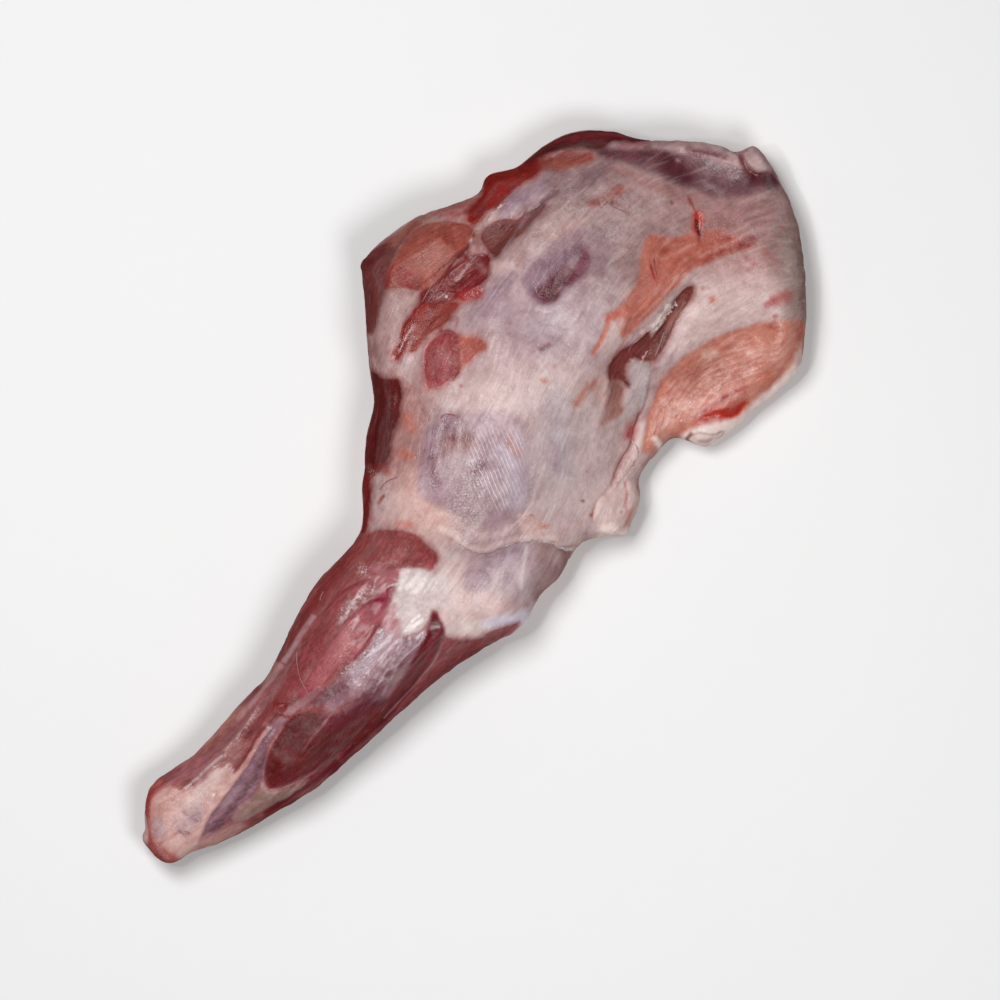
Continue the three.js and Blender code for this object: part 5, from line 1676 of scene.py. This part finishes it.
class MUTTON_OT_skin(bpy.types.Operator):
    """Dresses the solid with the painted skin"""

    bl_idname = "mutton.skin"
    bl_label = "Meat"

    def execute(self, context):
        piece = fine_mesh("meat")
        paint_skin(piece.data)
        piece.data.materials.append(skin_material(context.scene.mutton_skin))
        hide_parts(NODE)
        ride(piece)
        return {"FINISHED"}


class MUTTON_OT_torn_film(bpy.types.Operator):
    """Adds the strips of torn film that stand off the skin"""

    bl_idname = "mutton.torn_film"
    bl_label = "Torn film"

    def execute(self, context):
        tissue = context.scene.mutton_tissue
        tree = skin_tree()
        places, faces = [], []
        for seed, strip in enumerate(TORN_FILM):
            lay_strip(tree, strip, seed, places, faces)
        material = tissue_material("torn_film", tissue.film, tissue.film_deep, 0.3)
        new_piece("torn_film", places, faces, material)
        return {"FINISHED"}


class MUTTON_OT_threads(bpy.types.Operator):
    """Adds the threads of blood and of fat that lie on the skin"""

    bl_idname = "mutton.threads"
    bl_label = "Threads"

    def execute(self, context):
        tissue = context.scene.mutton_tissue
        tree = skin_tree()
        kinds = (
            ("blood_threads", BLOOD_THREADS, tissue.blood, tissue.blood_deep, 0.1),
            ("pale_threads", PALE_THREADS, tissue.pale, tissue.pale_deep, 0.3),
        )
        for name, threads, colour, deep, glow in kinds:
            places, faces = [], []
            for seed, thread in enumerate(threads):
                lay_thread(tree, thread, seed, places, faces)
            new_piece(name, places, faces, tissue_material(name, colour, deep, glow))
        return {"FINISHED"}


# The round soft lights: name, place and size. They look at the frame's origin.
LIGHTS = (
    ("overhead", (0.12, 0.56, 1.6), 0.6),
    ("fill", (-0.1, -0.7, 1.6), 0.6),
    ("key", (-0.22, 0.36, 1.7), 0.12),
)
CAMERA_REACH = 20


def add_light(name, place, size, power):
    light = bpy.data.lights.new(name, "AREA")
    light.shape = "DISK"
    light.size = size
    light.energy = power
    holder = bpy.data.objects.new(name, light)
    holder.location = place
    holder.rotation_euler = (-Vector(place)).to_track_quat("-Z", "Y").to_euler()
    bpy.context.scene.collection.objects.link(holder)


class MUTTON_OT_stage(bpy.types.Operator):
    """Adds the pale floor, the soft lights and the camera that looks straight down"""

    bl_idname = "mutton.stage"
    bl_label = "Stage"

    def execute(self, context):
        stage = context.scene.mutton_stage
        half = stage.floor_size / 2
        mesh = bpy.data.meshes.new("floor")
        mesh.from_pydata([(-half, -half, 0), (half, -half, 0), (half, half, 0), (-half, half, 0)], [],
                         [(0, 1, 2, 3)])
        floor = bpy.data.objects.new("floor", mesh)
        floor.data.materials.append(floor_material())
        context.scene.collection.objects.link(floor)
        for (name, place, size), power in zip(LIGHTS, (stage.overhead, stage.fill, stage.key)):
            add_light(name, place, size, power)
        world = bpy.data.worlds.new("soft_sky")
        world.use_nodes = True
        sky = world.node_tree.nodes["Background"]
        sky.inputs["Color"].default_value = (1, 1, 1, 1)
        sky.inputs["Strength"].default_value = stage.sky
        context.scene.world = world
        context.scene.view_settings.view_transform = "Standard"
        aim = from_pixel(VIEW_MIDDLE)
        lens = bpy.data.cameras.new("camera")
        lens.lens = LENS
        lens.sensor_width = FILM_GATE
        lens.clip_end = CAMERA_REACH
        camera = bpy.data.objects.new("camera", lens)
        cos, sin = TURN
        camera.matrix_world = Matrix((
            (cos, sin, 0, aim[0]), (-sin, cos, 0, aim[1]), (0, 0, 1, LEVEL + DISTANCE), (0, 0, 0, 1)))
        context.scene.collection.objects.link(camera)
        context.scene.camera = camera
        return {"FINISHED"}


class MUTTON_PT_panel(bpy.types.Panel):
    """Lists the pieces of the shoulder"""

    bl_label = "Mutton shoulder"
    bl_idname = "MUTTON_PT_panel"
    bl_space_type = "VIEW_3D"
    bl_region_type = "UI"
    bl_category = "Mutton"

    def draw(self, context):
        for maker in MAKERS:
            self.layout.operator(maker.bl_idname)
        scene = context.scene
        for group in (scene.mutton_skin, scene.mutton_tissue, scene.mutton_stage):
            for name in group.__annotations__:
                self.layout.prop(group, name)


MAKERS = (MUTTON_OT_skin, MUTTON_OT_torn_film, MUTTON_OT_threads, MUTTON_OT_stage)
CLASSES = (MUTTON_PG_skin, MUTTON_PG_tissue, MUTTON_PG_stage, *MAKERS, MUTTON_PT_panel)


def register():
    for one in CLASSES:
        bpy.utils.register_class(one)
    bpy.types.Scene.mutton_skin = bpy.props.PointerProperty(type=MUTTON_PG_skin)
    bpy.types.Scene.mutton_tissue = bpy.props.PointerProperty(type=MUTTON_PG_tissue)
    bpy.types.Scene.mutton_stage = bpy.props.PointerProperty(type=MUTTON_PG_stage)


def unregister():
    del bpy.types.Scene.mutton_stage
    del bpy.types.Scene.mutton_tissue
    del bpy.types.Scene.mutton_skin
    for one in reversed(CLASSES):
        bpy.utils.unregister_class(one)


def main():
    register()
    bpy.ops.mutton.skin()
    bpy.ops.mutton.torn_film()
    bpy.ops.mutton.threads()
    bpy.ops.mutton.stage()


if __name__ == "__main__":
    main()
